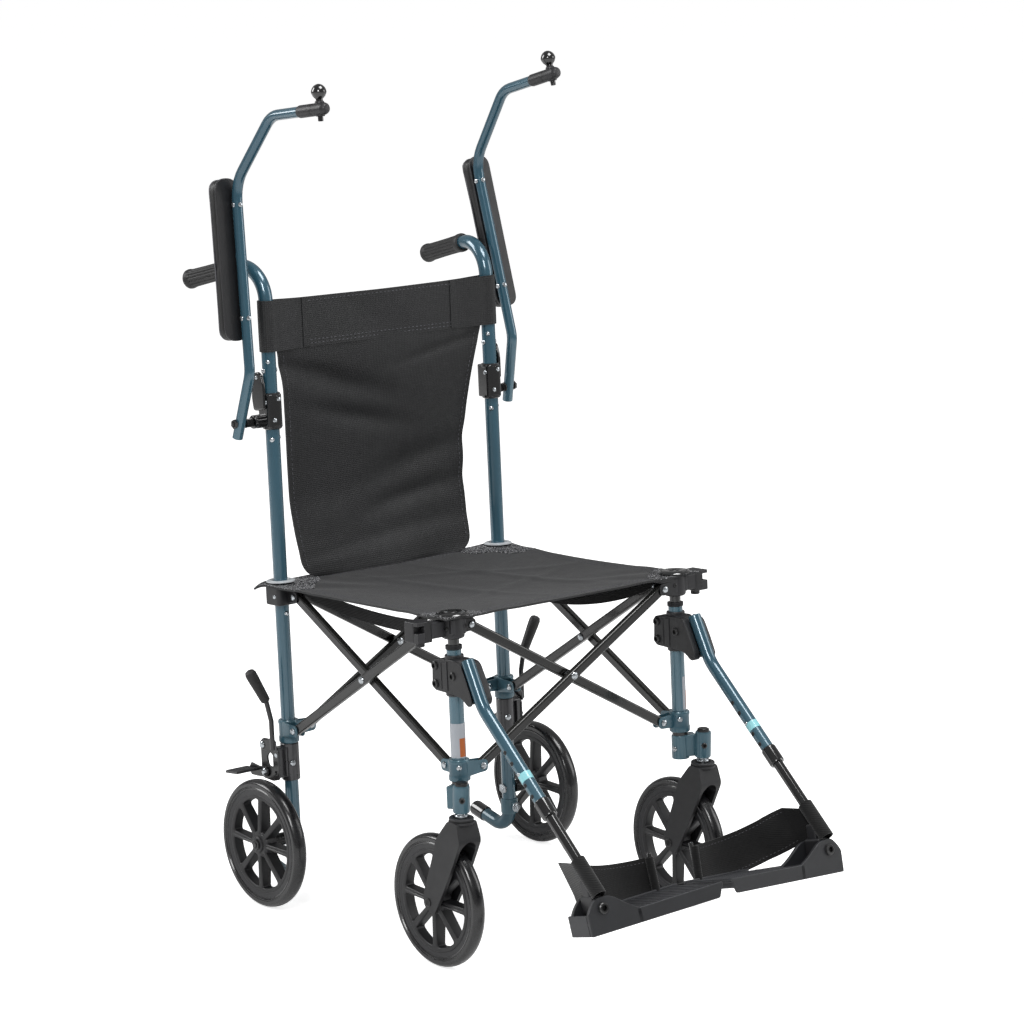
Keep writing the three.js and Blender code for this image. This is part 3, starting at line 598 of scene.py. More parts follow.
def follow(obj, bodies, gather=()):
    """Make the points follow several bodies by their w0, w1, ... shares.

    `gather` holds two (body, rest point in mm); as these draw together the points also
    move by their disp."""
    tree = bpy.data.node_groups.new("follow_" + obj.name, "GeometryNodeTree")
    for in_out in ("INPUT", "OUTPUT"):
        tree.interface.new_socket("Geometry", in_out=in_out, socket_type="NodeSocketGeometry")
    group_in = node(tree, "NodeGroupInput")
    position = node(tree, "GeometryNodeInputPosition").outputs[0]
    transforms = {}

    def carried(body, point):
        if body not in transforms:
            info = node(tree, "GeometryNodeObjectInfo", {"Object": BODIES[body]},
                        transform_space="RELATIVE")
            transforms[body] = info.outputs["Transform"]
        return node(tree, "FunctionNodeTransformPoint",
                    {"Vector": point, "Transform": transforms[body]}).outputs[0]

    def attribute(name, kind):
        return node(tree, "GeometryNodeInputNamedAttribute", {"Name": name},
                    data_type=kind).outputs[0]

    def vector_math(operation, inputs):
        return node(tree, "ShaderNodeVectorMath", inputs, operation=operation).outputs

    total = None
    for i, body in enumerate(bodies):
        share = vector_math("SCALE", {0: carried(body, position),
                                      "Scale": attribute(f"w{i}", "FLOAT")})[0]
        total = share if total is None else vector_math("ADD", {0: total, 1: share})[0]
    if gather:
        ends = [carried(body, [float(x) / 1000 for x in point]) for body, point in gather]
        distance = vector_math("DISTANCE", {0: ends[0], 1: ends[1]})["Value"]
        full = float(np.linalg.norm(gather[0][1] - gather[1][1])) / 1000
        closing = node(tree, "ShaderNodeMapRange",
                       {"Value": distance, "From Min": full, "From Max": 0.0})
        eased = node(tree, "ShaderNodeMath", {0: closing.outputs[0], 1: 0.6},
                     operation="POWER")
        shift = vector_math("SCALE", {0: attribute("disp", "FLOAT_VECTOR"),
                                      "Scale": eased.outputs[0]})[0]
        total = vector_math("ADD", {0: total, 1: shift})[0]
    placed = node(tree, "GeometryNodeSetPosition",
                  {"Geometry": group_in.outputs[0], "Position": total})
    node(tree, "NodeGroupOutput", {0: placed.outputs[0]})
    obj.modifiers.new("follow", "NODES").node_group = tree


# ---------------------------------------------------------------- scissor bars
BAR_RUN, BAR_RISE = 2 * (HALF - HINGE), HIGH_Z - LOW_Z
BAR_HALF = hypot(BAR_RUN, BAR_RISE) / 2
BAR_TILT = degrees(atan2(BAR_RISE, BAR_RUN))


def bar_body():
    outline = arc(BAR_HALF, 0, 7.5, -pi / 2, pi / 2) + arc(-BAR_HALF, 0, 7.5, pi / 2, 3 * pi / 2)
    return plate(outline, -5.5, 5.5, bevel=3.0, res=3)


def bar_pins(first):
    """End pins, and at the middle the crossing pin (first bar) or its bush (second bar)."""
    pins = []
    for x in (-BAR_HALF, BAR_HALF):
        pins.append(rod((x, -8.9, 0), REAR, 3, 17.8, 0.3, 16))
        pins += [dome((x, face * 8.8, 0), (0, face, 0), 5.2, 2.6) for face in (-1, 1)]
    if first:
        return pins + [rod((0, 0, 0), REAR, 3.4, 19.6, 0.3, 16),
                       dome((0, 19.5, 0), REAR, 5.8, 2.8), dome((0, -5.6, 0), FRONT, 5.8, 2.6),
                       rod((0, 5.6, 0), REAR, 6.4, 2.3, 0.3, 20)]
    return pins + [rod((0, -6.2, 0), REAR, 6.2, 12.4, 0.3, 20)]


def scissor_bars():
    body = bar_body()
    for place, x, y in (("rear", 0, HALF), ("front", 0, -HALF),
                        ("right", -HALF, 0), ("left", HALF, 0)):
        for letter, sign in (("a", 1), ("b", -1)):
            layer = -sign * LAYER
            middle = (LOW_Z + HIGH_Z) / 2
            if y:
                frame = POST @ move(x, y + layer, middle)
            else:
                frame = POST @ move(x + layer, y, middle) @ turn("Z", -90)
            frame = frame @ turn("Y", -sign * BAR_TILT)
            name, rides = f"{place}_scissor_bar_{letter}", f"{place}_bar_{letter}"
            piece(name + "_v", rides, frame, [body], BAR)
            piece(name + "_pins", rides, frame, bar_pins(letter == "a"), ZINC)


# ---------------------------------------------------------------- wheels, axle along x
def wheel_windows():
    """Eight openings between the spokes, which widen slightly outwards."""
    inner, outer, spoke_half, count = 19, 70.5, 4.2, 8
    windows = []
    for i in range(count):
        start = 2 * pi * i / count
        stop = start + 2 * pi / count

        def beside(radius, angle, offset):
            # Point at the radius, offset from a spoke's centre line.
            along = sqrt(radius * radius - offset * offset)
            return (along * cos(angle) - offset * sin(angle),
                    along * sin(angle) + offset * cos(angle))

        rim = arc(0, 0, outer, start, stop)[2:-2]
        loop = [beside(inner, start, spoke_half), beside(outer, start, spoke_half + 1.4), *rim,
                beside(outer, stop, -spoke_half - 1.4), beside(inner, stop, -spoke_half)]
        windows.append(rounded(loop, [3.5, 17] + [0] * len(rim) + [17, 3.5], 6))
    return windows


def wheel_shells(hub_half, tyre_half):
    """Spoked wheel shells and tyre shells, from half the hub's and half the tyre's width."""
    axle = turn("Y", 90)
    verts, faces = plate(circle(0, 0, 78, 96), -8.5, 8.5, "x", bevel=2.2,
                         holes=wheel_windows())
    verts[:, 0] *= np.interp(np.hypot(verts[:, 1], verts[:, 2]),
                             [17, 28, 55, 70, 78], [1.35, 1.12, 0.9, 1.02, 1.1])
    edge = tyre_half * 0.62
    # Half profiles (radius, distance from the middle), mirrored for the other face.
    rim = [(71.2, edge * 0.9), (72.5, edge), (84, tyre_half * 0.78), (85.6, tyre_half * 0.74)]
    hub = [(0, 0), (11, 0), (12.5, 1.2), (13, 3), (18.5, 4.2), (20.5, 6.5)]
    hub = [(r, hub_half - depth) for r, depth in hub]
    bead = [(84.6, 0.66), (85.4, 0.8), (87.2, 0.86), (88.4, 0.79), (89.3, 0.8), (90.2, 0.92)]
    bead = [(r, tyre_half * share) for r, share in bead]

    def mirrored(half, crown=()):
        return [(r, -x) for r, x in half] + list(crown) + half[::-1]

    crown = []
    for a in np.linspace(-75, 75, 15):
        x = tyre_half * 0.965 * sin(radians(a)) / sin(radians(75)) * (0.96 if abs(a) > 74 else 1)
        crown.append((90.5 + (WHEEL_R - 90.5) * cos(radians(a)) ** 0.8, x))
    wheel = [(verts, faces), ring(mirrored(rim), 96, axle), lathe(mirrored(hub), 48, axle)]
    return wheel, [ring(mirrored(bead, crown), 128, axle)]


REAR_WHEEL, REAR_TYRE = wheel_shells(hub_half=14.6, tyre_half=12.4)
CASTER_WHEEL, CASTER_TYRE = wheel_shells(hub_half=13.0, tyre_half=11.4)


# ---------------------------------------------------------------- rear post and what it carries
def ears(out, inward, low):
    """Ears at a post for the bars across the chair (x) and along it (y, inward sign given).

    The upper ones are bridged along their top."""
    z, half, layer = (LOW_Z, 12, LAYER) if low else (HIGH_Z, 13.5, -LAYER)
    shells = []
    for reach, middle, axis in ((-out, out * layer, "y"), (inward, inward * layer, "x")):
        outline = rounded(outwards(reach, [
            (4, z - half), (27, z - 9.4), (42, z - 9), (42, z + 9), (27, z + 9.4),
            (4, z + half)]), [0, 6, 8.5, 8.5, 6, 0])
        for k in (-1, 1):
            face = middle + k * 6.0
            shells.append(plate(outline, face, face + k * 2.4, axis, bevel=0.7, res=1))
    if not low:
        x, y = out * layer, inward * layer
        shells.append(block(-out * 40, -out * 12, x - 8.2, x + 8.2, 508.5, 514, 1.2))
        shells.append(block(y - 8.2, y + 8.2, inward * 12, inward * 40, 508.5, 514, 1.2))
    return shells


def on_handle(out, along):
    """Point along the push handle from its bend, and the handle's direction."""
    direction = unit([out * 19, 174, -36])
    return np.array([0, 0, 1018.0]) + direction * along, direction


def rear_post(side):
    """One tube from the tipping foot to the push handle, with the lower hinge collar."""
    end, _ = on_handle(side.out, 166)
    side.add("rear_post_v", "rear_frame",
             [sweep([(0, 0, 84.2), (0, 0, 1018), tuple(end)], [52], POST_R, 40)], TEAL)
    collar = [(11.2, 267), (14.6, 267), (15.6, 268), (16, 270), (16, 276), (15.1, 278),
              (15.1, 296), (16, 298), (16, 301), (15, 303), (11.2, 303)]
    side.add("rear_low_collar", "rear_frame",
             [ring(collar), *ears(side.out, -1, low=True)], TEAL_CAST)
    side.add("rear_collar_bolts", "rear_frame", [
        dome((-10.5, -11.8, 292), (-0.7, -0.75, 0), 4.4, 2.6),
        dome((10.5, -11.8, 292), (0.7, -0.75, 0), 4.4, 2.6),
        dome((-11, 0, 848), RIGHT, 4.2, 2.4), dome((11, 0, 848), LEFT, 4.2, 2.4),
        dome((-7.5, -8, 862), (-0.7, -0.7, 0), 3.4, 2.0),
        dome((-7.5, -8, 742), (-0.7, -0.7, 0), 3.8, 2.2), dome((11, 0, 744), LEFT, 3.8, 2.2),
    ], ZINC)


def rear_wheel(side):
    out, outward = side.out, (side.out, 0, 0)
    side.add("rear_axle", "rear_frame", [
        rod((0, 0, AXLE_Z), outward, 5.9, 72.3, 0.5),
        nut((out * 72.3, 0, AXLE_Z), outward, 8.6, 2.6),
        rod((out * 10.2, 0, AXLE_Z), outward, 10, 31, 0.8)], DARK_STEEL)
    side.add("rear_axle_nut", "rear_frame",
             [nut((-out * 10.6, 0, AXLE_Z), (-out, 0, 0), 8.8, 3.2)], ZINC)
    side.add("rear_tyre_v", "rear_rolling", REAR_TYRE, TYRE_RUBBER)
    side.add("rear_wheel_v", "rear_rolling", REAR_WHEEL, WHEEL_PLASTIC)


def push_grip(side):
    """Fluted sleeve with rolled ends on the handle."""
    profile = [
        (0, 116), (10.5, 116), (13.6, 115.2), (15.2, 113), (15.5, 110), (15.1, 106.5),
        (14.2, 104), (14.3, 102, 1), (14.2, 98, 1), (13.9, 70, 1), (13.9, 40, 1), (14.2, 18, 1),
        (14.4, 13, 1), (14.6, 11), (15.2, 8), (15.2, 3), (14.2, 0.6), (11.6, 0),
        (11.3, 0.6), (11.3, 100), (0, 100)]
    frame = side.frame["rear_frame"] @ aim(*on_handle(side.out, GRIP_START))
    side.add("push_grip_v", "rear_frame", [lathe(profile, 96, flute=1.3)], GRIP_RUBBER, frame)


def rear_corner(side):
    """Snap button on the post, and the boxy moulding that slides on it under the seat."""
    button = [(0, 14.4), (1.6, 14.2), (3.0, 13.2), (3.75, 11.4), (3.8, 6), (0, 6)]
    side.add("snap_button_v", "button", [lathe(button, 24, aim((0, 0, 471), FRONT))], ZINC)
    square = rounded([(-18.6, -18.6), (18.6, -18.6), (18.6, 18.6), (-18.6, 18.6)], 7)
    side.add("rear_corner_v", "rear_corner_body", [
        plate(square, 485, 514, "z", bevel=1.8, holes=[circle(0, 0, BORE_R, 32)]),
        *ears(side.out, -1, low=False)], PLASTIC)
    side.add("rear_corner_screws", "rear_corner_body", [
        dome((-18.6, 8 * side.out, HIGH_Z), RIGHT, 3.4, 1.8),
        dome((-side.out * 8, -18.6, 506), FRONT, 3.2, 1.6)], ZINC)


def arm_collar(side):
    """Collar on the rear post, with a fin and the arm's pivot pin."""
    out, outward = side.out, (side.out, 0, 0)
    body = rounded([(-13.4, -13.4), (13.4, -13.4), (13.4, 19.8), (-13.4, 19.8)], 8)
    fin = rounded([(-6, 790), (8, 787), (22, 786), (26, 806), (22, 834), (12, 848), (0, 844),
                   (-6, 826)], [2, 2, 5, 8, 10, 6, 6, 6])
    side.add("arm_collar_v", "rear_frame", [
        plate(body, 760, 812, "z", bevel=1.8, holes=[circle(0, 0, BORE_R, 32)]),
        rod((out * 4, PIN_Y, 769.6), outward, 10.4, 22, 1.5),
        block(out * 4, out * 24, 6, 25, 760, 779.5, 3),
        plate(fin, out * 13, out * 18, "x", bevel=1.4),
        *[ring([(13.4, z), (14.6, z + 1), (14.6, z + 5), (13.4, z + 6), (11.6, z + 6),
                (11.6, z)], 36) for z in (758, 808)]], ENAMEL)
    ridges = (-20.3, -18.4, -16.5, -14.6, -12.7, -10.8)
    side.add("arm_pivot_pin", "rear_frame", [
        rod((-out * 22, 0, 0), outward, 4.5, 32, 0.4, 24),
        *[ring([(4.3, x - 0.9), (6.8, x), (4.3, x + 0.9)], 24, aim((0, 0, 0), outward))
          for x in ridges],
        nut((out * 8.9, 0, 0), outward, 7.4, 4.4),
        rod((-out * 10.2, 0, 0), outward, 7.4, 1.4, 0.2)],
        DARK_STEEL, side.frame["rear_frame"] @ side.pin)
    side.add("arm_collar_screws", "rear_frame", [
        dome((-13.4, -4, 800), RIGHT, 3.8, 2), dome((-4, -13.4, 772), FRONT, 3.6, 1.9),
        dome((5, -13.4, 804), FRONT, 3.6, 1.9), dome((13.4, -4, 786), LEFT, 3.6, 1.9),
        dome((out * 18, 10, 838), outward, 3.2, 1.6)], ZINC)


ARM_Y = -36                 # the arm's upright run, in its own frame
ARM_R = 8.2


def arm(side):
    """Swinging arm tube, its end plug and the ball-headed plunger."""
    tip_z = ARM_TIP[2]
    side.add("arm_tube_v", "arm", [sweep(
        [(0, 10, -22), (0, ARM_Y, 76), (0, ARM_Y, 364), (0, -141, tip_z), (0, -230, tip_z)],
        [45, 60, 45], ARM_R, 36, bores=(14, 0))], TEAL)
    plug = [(0, 67), (5, 66.4), (8.2, 63.6), (9.6, 59), (9.6, 38), (9.0, 36.5), (9.0, 35),
            (9.6, 33.5), (9.6, 2), (9.0, 0.4), (8.2, 0), (0, 0)]
    boss = [(0, 12), (5.8, 12), (6.8, 11), (7.2, 8), (7.2, -9), (6.4, -10.6), (0, -10.6)]
    side.add("arm_end_plug", "arm", [lathe(plug, 40, aim((0, -216, tip_z), FRONT)),
                                     lathe(boss, 32, aim(ARM_TIP, UP))], PLASTIC)
    side.add("arm_screws", "arm", [
        dome((x, y, z), direction, 4, 2.2)
        for x, y, direction in ((-8, ARM_Y, RIGHT), (0, ARM_Y - 8, FRONT))
        for z in (332, 160)], ZINC)
    ball = [(0, 37), (3.2, 36.4), (6.6, 34.6), (9.4, 31.6), (11.0, 28.2), (11.5, 25.6),
            (11.5, 24.2), (10.9, 22.4), (9.0, 18.6), (6.4, 15.8), (5.2, 14.6), (5.2, 12.2),
            (4.0, 12), (4.0, -17.4), (3.2, -18), (0, -18)]
    side.add("arm_plunger_v", "plunger", [lathe(ball, 36, aim(ARM_TIP, UP))], ENAMEL)


def brake(side):
    """Clamp on the rear post, the hand lever with its grip and the ribbed shoe."""
    out, outward = side.out, (side.out, 0, 0)
    lever_pin, shoe_pin = (26, 264), (24, 221)       # (y, z)
    side_plate = rounded([(-9, 212), (8, 208), (34, 210), (37, 228), (37, 268), (30, 274),
                          (12, 274), (-9, 258)], [5, 4, 5, 4, 6, 4, 5, 5])
    window = rounded([(6, 230), (18, 232), (21, 246), (13, 254), (4, 248)], 4)
    side.add("brake_clamp_v", "rear_frame", [
        ring([(11.5, 208), (13.8, 208), (14.5, 209), (14.5, 265), (13.8, 266), (11.5, 266)]),
        block(out * 10, out * 27, -8, 10, 214, 262, 2.5),
        plate(side_plate, out * 26, out * 29, "x", bevel=0.7,
              holes=[window, circle(-2, 222, 3)]),
        block(out * 14, out * 17, -13.5, -8, 216, 260, 0.8)], BLACK_STEEL)
    pivots = []
    for pin in (lever_pin, shoe_pin):
        pivots += [rod((out * 28, *pin), outward, 3.5, 6.2, 0.3, 16),
                   dome((out * 33.4, *pin), outward, 6, 2.6)]
    side.add("brake_pivots", "rear_frame", [
        *pivots, dome((-5.6, -14, 236), (-0.3, -0.95, 0), 5, 3),
        dome((out * 29, -3, 250), outward, 3.6, 0.3)], ZINC)

    lever = arc(*lever_pin, 8, -pi / 2, pi / 2)
    lever += [(10, 274), (-2, 277), (-8, 272), (-8, 258), (6, 256)]
    stalk = [np.array((out * x, -3, z)) for x, z in ((34, 260), (34, 306), (41, 337), (68, 386))]
    grip_way = unit(stalk[3] - stalk[2])
    side.add("brake_lever_v", "brake_arm", [
        plate(lever, out * 29.6, out * 33, "x", bevel=0.8, holes=[circle(*lever_pin, 4.4)]),
        sweep(stalk, [10, 14], 3.9, 20)], BLACK_STEEL)
    grip = [(0, 60), (4, 59.6), (7.4, 57.6), (9, 53), (9, 44), (8.2, 25), (7.6, 6), (7.2, 1.5),
            (5.6, 0), (0, 0)]
    side.add("brake_grip", "brake_arm",
             [lathe(grip, 36, aim(stalk[2] + grip_way * 1.5, grip_way))], GRIP_RUBBER)

    shoe = arc(*shoe_pin, 8, pi / 2, 3 * pi / 2)
    shoe += [(44, 211.5), (60, 211.5), (68, 220), (60, 231), (40, 228)]
    tread = [block(-21, 21, -16, 16, -2.4, 1.6, 1.0)]
    for k in range(7):
        y = -14.5 + k * 4.6
        tread.append(block(-20, 20, y, y + 1.8, -1, 2.4, 0.5, 1))
    tread_frame = move(out * 51, 59, 222) @ turn("X", -3.8)
    side.add("brake_shoe_v", "brake_pad", [
        plate(shoe, out * 29.6, out * 33, "x", bevel=0.8, holes=[circle(*shoe_pin, 4.4)]),
        *[moved(shell, tread_frame) for shell in tread]], BLACK_STEEL)


def tipping_foot(side):
    """Bent foot at the bottom of the rear post, pointing to the rear."""
    side.add("tipping_lever_v", "rear_frame", [
        sweep([(0, 0, 83.6), (0, 0, 44), (0, 80, 66)], [29.5], 10.9, 36),
        ring([(11.4, 74), (13.2, 74), (14, 75.5), (14, 96), (13.2, 98), (11.4, 98)]),
        block(-6, 6, -17.5, -12, 78, 94, 2)], TEAL_CAST)
    cap = [(0, 30.5), (9, 30.5), (11.6, 29.6), (12.6, 27), (12.6, 1.4), (11.8, 0.2), (10.8, 0),
           (0, 0)]
    side.add("tipping_cap", "rear_frame",
             [lathe(cap, 36, aim((0, 62, 61.05), (0, 80, 22)))], ENAMEL)
    side.add("tipping_bolt", "rear_frame", [
        nut((0, -17.4, 86), FRONT, 6.4, 4), rod((0, -17.6, 86), FRONT, 8, 1.2, 0.3),
        dome((0, 13.6, 86), REAR, 6, 3)], ZINC)


# ---------------------------------------------------------------- front post and what it carries
def front_post(side):
    """Outer tube, and the casting that joins it to the caster's stem housing."""
    out, stem = side.out, side.stem
    tube = [(0, 229), (10, 229), (POST_R, 230), (POST_R, 466.5), (10.4, 467.5), (9.2, 467.5),
            (9.2, 440), (0, 440)]
    side.add("front_post_v", "front_frame", [lathe(tube, 44)], TEAL)
    web_turn = degrees(atan2(STEM[1], out * STEM[0]))
    upper = [(11.2, 272), (14.8, 272), (15.8, 273), (16, 275), (16, 280), (15.2, 281.5),
             (15.2, 297), (16, 299), (16, 302), (15, 304), (11.2, 304)]
    lower = [(10.8, 229.6), (12.8, 229.6), (13.6, 230.8), (13.6, 264.6), (12.8, 266),
             (10.8, 266)]
    housing = [(6.6, 247), (11.3, 247), (12.3, 248.2), (12.5, 250), (12.5, 285), (11.8, 287.2),
               (9.4, 287.8), (6.6, 287.8)]
    side.add("front_casting", "front_frame", [
        ring(upper, 44), *ears(out, 1, low=True), ring(lower, 44),
        moved(block(0, 23.4, -12.0, 12.0, 233, 267, 2.2), turn("Z", web_turn)),
        ring(housing, 44, stem)], TEAL_CAST)
    cap = [(0, 292.8), (7.6, 292.6), (9, 291.6), (9.4, 289.8), (9.4, 287), (0, 287)]
    side.add("front_cap", "front_frame", [
        lathe(cap, 40, stem),
        ring([(11.0, 266.6), (11.9, 266.6), (11.9, 271.6), (11.0, 271.6)])], DARK_STEEL)
    way = unit([-0.55, -0.83, 0])
    side.add("front_screws_dark", "front_frame",
             [cap_screw((way[0] * 12.2, way[1] * 12.2, 268), way, 4.4, 3)], DARK_STEEL,
             side.frame["fork"])
    side.add("front_screws", "front_frame", [
        dome((-13.4, -2, 246), (-1, -0.1, 0), 4.2, 2.6),
        dome((-9.5, -12.2, 293), (-0.62, -0.78, 0), 4, 2.2),
        dome((9.5, 12.2, 293), (0.62, 0.78, 0), 4, 2.2),
        dome((13.4, 2, 246), (1, 0.1, 0), 4.2, 2.6)], ZINC)
    # Ribbed bush where the inner tube slides in.
    bush = [(8.9, 466), (11.4, 467.6)]
    for k in range(5):
        z = 468 + k * 1.25
        bush += [(12.4, z), (12.4, z + 0.7), (11.8, z + 0.9)]
    side.add("post_bush", "front_frame", [ring(bush + [(11.4, 474), (8.9, 474)], 44)], PLASTIC)


def wrap(inner, outer, low, high, start, stop, n=22):
    """Thin wrap round the post between two angles in degrees."""
    verts = []
    for angle in (radians(start) + radians(stop - start) * i / n for i in range(n + 1)):
        for radius, z in ((inner, low), (outer, low), (outer, high), (inner, high)):
            verts.append((radius * cos(angle), radius * sin(angle), z))
    faces = strip(0, n, 4) + [(0, 1, 2, 3), tuple(n * 4 + k for k in (3, 2, 1, 0))]
    return np.array(verts), faces


def post_wraps(side):
    middle, half, film = (-128, 97, -116) if side.out < 0 else (-10, 86, -62)
    side.add("plain_sleeve", "front_frame",
             [wrap(11.02, 11.25, 307, 358, middle - half, middle + half)], SLEEVE, smooth=60)
    side.add("plain_film", "front_frame",
             [wrap(11.2, 11.4, 308.5, 336, film, film + 52)], ORANGE, smooth=60)


def front_corner(side):
    """Inner tube, the sliding moulding with the socket for the arm's plunger, seat button."""
    out = side.out
    side.add("inner_stem", "front_corner_body", [rod((0, 0, 240), UP, 8.6, 246, 0.8, 40)],
             ENAMEL)
    reach = -ARM_TIP[1]
    socket_x = PIN_X + reach * sin(radians(PIN_TILT))
    socket_z = PIN_Z - reach * cos(radians(PIN_TILT))
    near, far = socket_x - 19, socket_x + 7.2
    notch_half = 5.2
    notch = socket_x - notch_half

    def face(right, radius):
        corners = [(near, 484), (right, 484), (right, 515), (near, 515)]
        return rounded(outwards(out, corners), radius)

    body = [(0, 484), (14, 484), (16.2, 485.4), (17, 488), (17, 512), (16, 514.4), (14, 515.6),
            (0, 515.6)]
    side.add("front_corner_v", "front_corner_body", [
        lathe(body, 44), block(out * 6, out * 44, -2.4, 14, 488, 512, 2),
        block(-14, 14, -15.5, 15.5, 490, 514.5, 3),
        plate(face(far, 2.5), 8.3, 30, bevel=1.6), plate(face(notch, 1.5), -2.4, 8.6),
        block(out * (notch - 0.6), out * far, -2.4, 8.6, 484, socket_z - notch_half, 1.0),
        block(out * (notch - 0.6), out * far, -2.4, 8.6, socket_z + notch_half, 515, 1.0),
        rod((out * 52, 12, 486), DOWN, 7, 9, 1.4), *ears(out, 1, low=False)], PLASTIC)
    side.add("front_corner_screws", "front_corner_body", [
        dome((-out * 12, -15.4, 502), FRONT, 3.4, 1.6),
        dome((-16.5, -6, 500), (-0.93, -0.35, 0), 3.2, 1.6)], DARK_STEEL)
    button = [(0, 521.2), (6, 521.4), (10, 522.2), (13.6, 523.3), (17, 523.2), (19, 522),
              (19.4, 520.6), (18.6, 519.7), (0, 519.7)]
    side.add("seat_button", "front_corner_body", [lathe(button, 48)], ENAMEL)
    screw = [(0, 521.9), (3.2, 521.9), (3.6, 523.1), (6.4, 523.2), (7.4, 522.4), (7.4, 521),
             (0, 521)]
    side.add("seat_button_screw", "front_corner_body", [lathe(screw, 28)], DARK_STEEL)


def fork_shell():
    """Caster fork: its side outline (y, z) cut by its front outline (x, z)."""
    profile = rounded([(-12, 234), (-21, 206), (-3, 165), (19, 121), (40, 84), (47, 86.4),
                       (63, 91.4), (66, 108.4), (50, 154), (40, 184), (37, 199), (10, 234)],
                      [3, 6, 20, 25, 9, 5, 10, 12, 25, 8, 9, 3])
    arch = [(-20.4, 80), (-14.5, 80), (-14.5, 184),
            *[(-14.5 * cos(a), 190 + 16 * sin(a)) for a in np.linspace(0, pi, 15)],
            (14.5, 184), (14.5, 80), (20.4, 80), (20.4, 214), (18.6, 236), (-18.6, 236),
            (-20.4, 214)]
    shells = (plate(profile, -24, 24, "x", bevel=0.05, res=0),
              plate(arch, -60, 120, bevel=0.05, res=0))
    fork, cutter = (add_object("tmp", outward_mesh("tmp", *shell)) for shell in shells)
    common = fork.modifiers.new("b", "BOOLEAN")
    common.operation, common.object, common.solver = "INTERSECT", cutter, "EXACT"
    flat = fork.modifiers.new("d", "DECIMATE")
    flat.decimate_type, flat.angle_limit = "DISSOLVE", radians(1)
    edge = fork.modifiers.new("v", "BEVEL")
    edge.width, edge.segments, edge.use_clamp_overlap = 2.6, 3, True
    edge.limit_method, edge.angle_limit = "ANGLE", radians(40)
    mesh = evaluated_mesh(fork)
    shell = shell_from_mesh(mesh)
    for obj in (fork, cutter):
        bpy.data.objects.remove(obj)
    bpy.data.meshes.remove(mesh)
    return shell


FORK = fork_shell()


def caster(side):
    crown = [(0, 229), (15, 229), (17.6, 230.4), (19, 232), (19, 234.4), (17.2, 235.4),
             (17.2, 236.6), (18.4, 237.4), (18.4, 239), (17.4, 240), (12, 240), (11, 238.4),
             (0, 238.4)]
    side.add("caster_fork_v", "fork", [FORK, lathe(crown, 48)], FORK_PLASTIC)
    washer = [(6, 240.2), (9.4, 240.2), (10, 241), (10, 243), (9.4, 243.8), (6, 243.8)]
    side.add("caster_stem", "fork", [rod((0, 0, 232), UP, 6.2, 49, 0.6), ring(washer, 36)],
             ZINC)
    axle = (CASTER_TRAIL, WHEEL_R)
    side.add("caster_axle", "fork", [
        rod((-22, *axle), LEFT, 5, 44, 0.4), cap_screw((-20.4, *axle), RIGHT, 6.4, 1.9),
        cap_screw((20.4, *axle), LEFT, 6.4, 1.9)], DARK_STEEL)
    side.add("caster_tyre_v", "caster_rolling", CASTER_TYRE, TYRE_RUBBER)
    side.add("caster_wheel_v", "caster_rolling", CASTER_WHEEL, WHEEL_PLASTIC)


# ---------------------------------------------------------------- footrest
HANGER_X = 5                # hanger tube, outwards from the front post
HANGER_END = (-203, 262)    # its lower end (y, z)
HANGER_WAY = unit([0, -203 + 70, 262 - 389])
HANGER_R = 9.8


def on_hanger(out, along):
    """Point on the hanger tube's sloping line, from its lower end."""
    return (out * HANGER_X, HANGER_END[0] + HANGER_WAY[1] * along,
            HANGER_END[1] + HANGER_WAY[2] * along)


def hanger_clamp(side):
    """Moulded clamp on the front post; outlines are (y, z)."""
    right = side.out < 0
    body = rounded([(34, 450), (10, 454), (-18, 455), (-24, 450), (-40, 416), (-50, 394),
                    (-46, 391), (-33, 402), (30, 405), (36, 412)],
                   [6, 0, 4, 3, 4, 3, 3, 6, 4, 5])
    lobe = rounded([(-20, 455), (-40, 452), (-55, 424), (-66, 399), (-62, 391), (-52, 389),
                    (-30, 402), (-20, 404)], [3, 8, 10, 5, 4, 4, 6, 3])
    cheek = rounded([(-16, 455), (-33, 453), (-45, 430), (-57, 404), (-59, 393), (-50, 390),
                     (-34, 401), (-16, 404)], [2, 5, 9, 6, 4, 4, 6, 2])
    lobe_x = (6.2, 17) if right else (15.6, 21.5)
    cheek_x = (-17.2, -15.0) if right else (-15.7, -5.1)
    side.add("hanger_clamp_v", "hanger", [
        plate(body, -15.4, 15.4, "x", bevel=1.8), plate(lobe, *lobe_x, "x", bevel=1.6),
        plate(cheek, *cheek_x, "x", bevel=0.8),
        plate(rounded([(8, 450), (-2, 451), (-2, 407), (8, 407)], 2), -16.6, -15.0, "x",
              bevel=0.7),
        plate(rounded([(16, 448), (12, 449), (12, 408), (16, 408)], 1.5), -16.2, -15.0, "x",
              bevel=0.5),
        ring([(11.4, 399), (13.6, 399), (14.2, 400), (14.2, 458), (13.6, 459.5),
              (11.4, 459.5)], 44)], PLASTIC)
    screws = []
    for y, z in ((27, 442), (27, 415), (-16, 431)):
        screws += [cap_screw((-17.0 if right and y < 0 else -15.5, y, z), RIGHT, 6.3, 2.8),
                   nut((15.2, y, z), LEFT, 4.6, 2)]
    side.add("hanger_screws", "hanger", screws, DARK_STEEL)


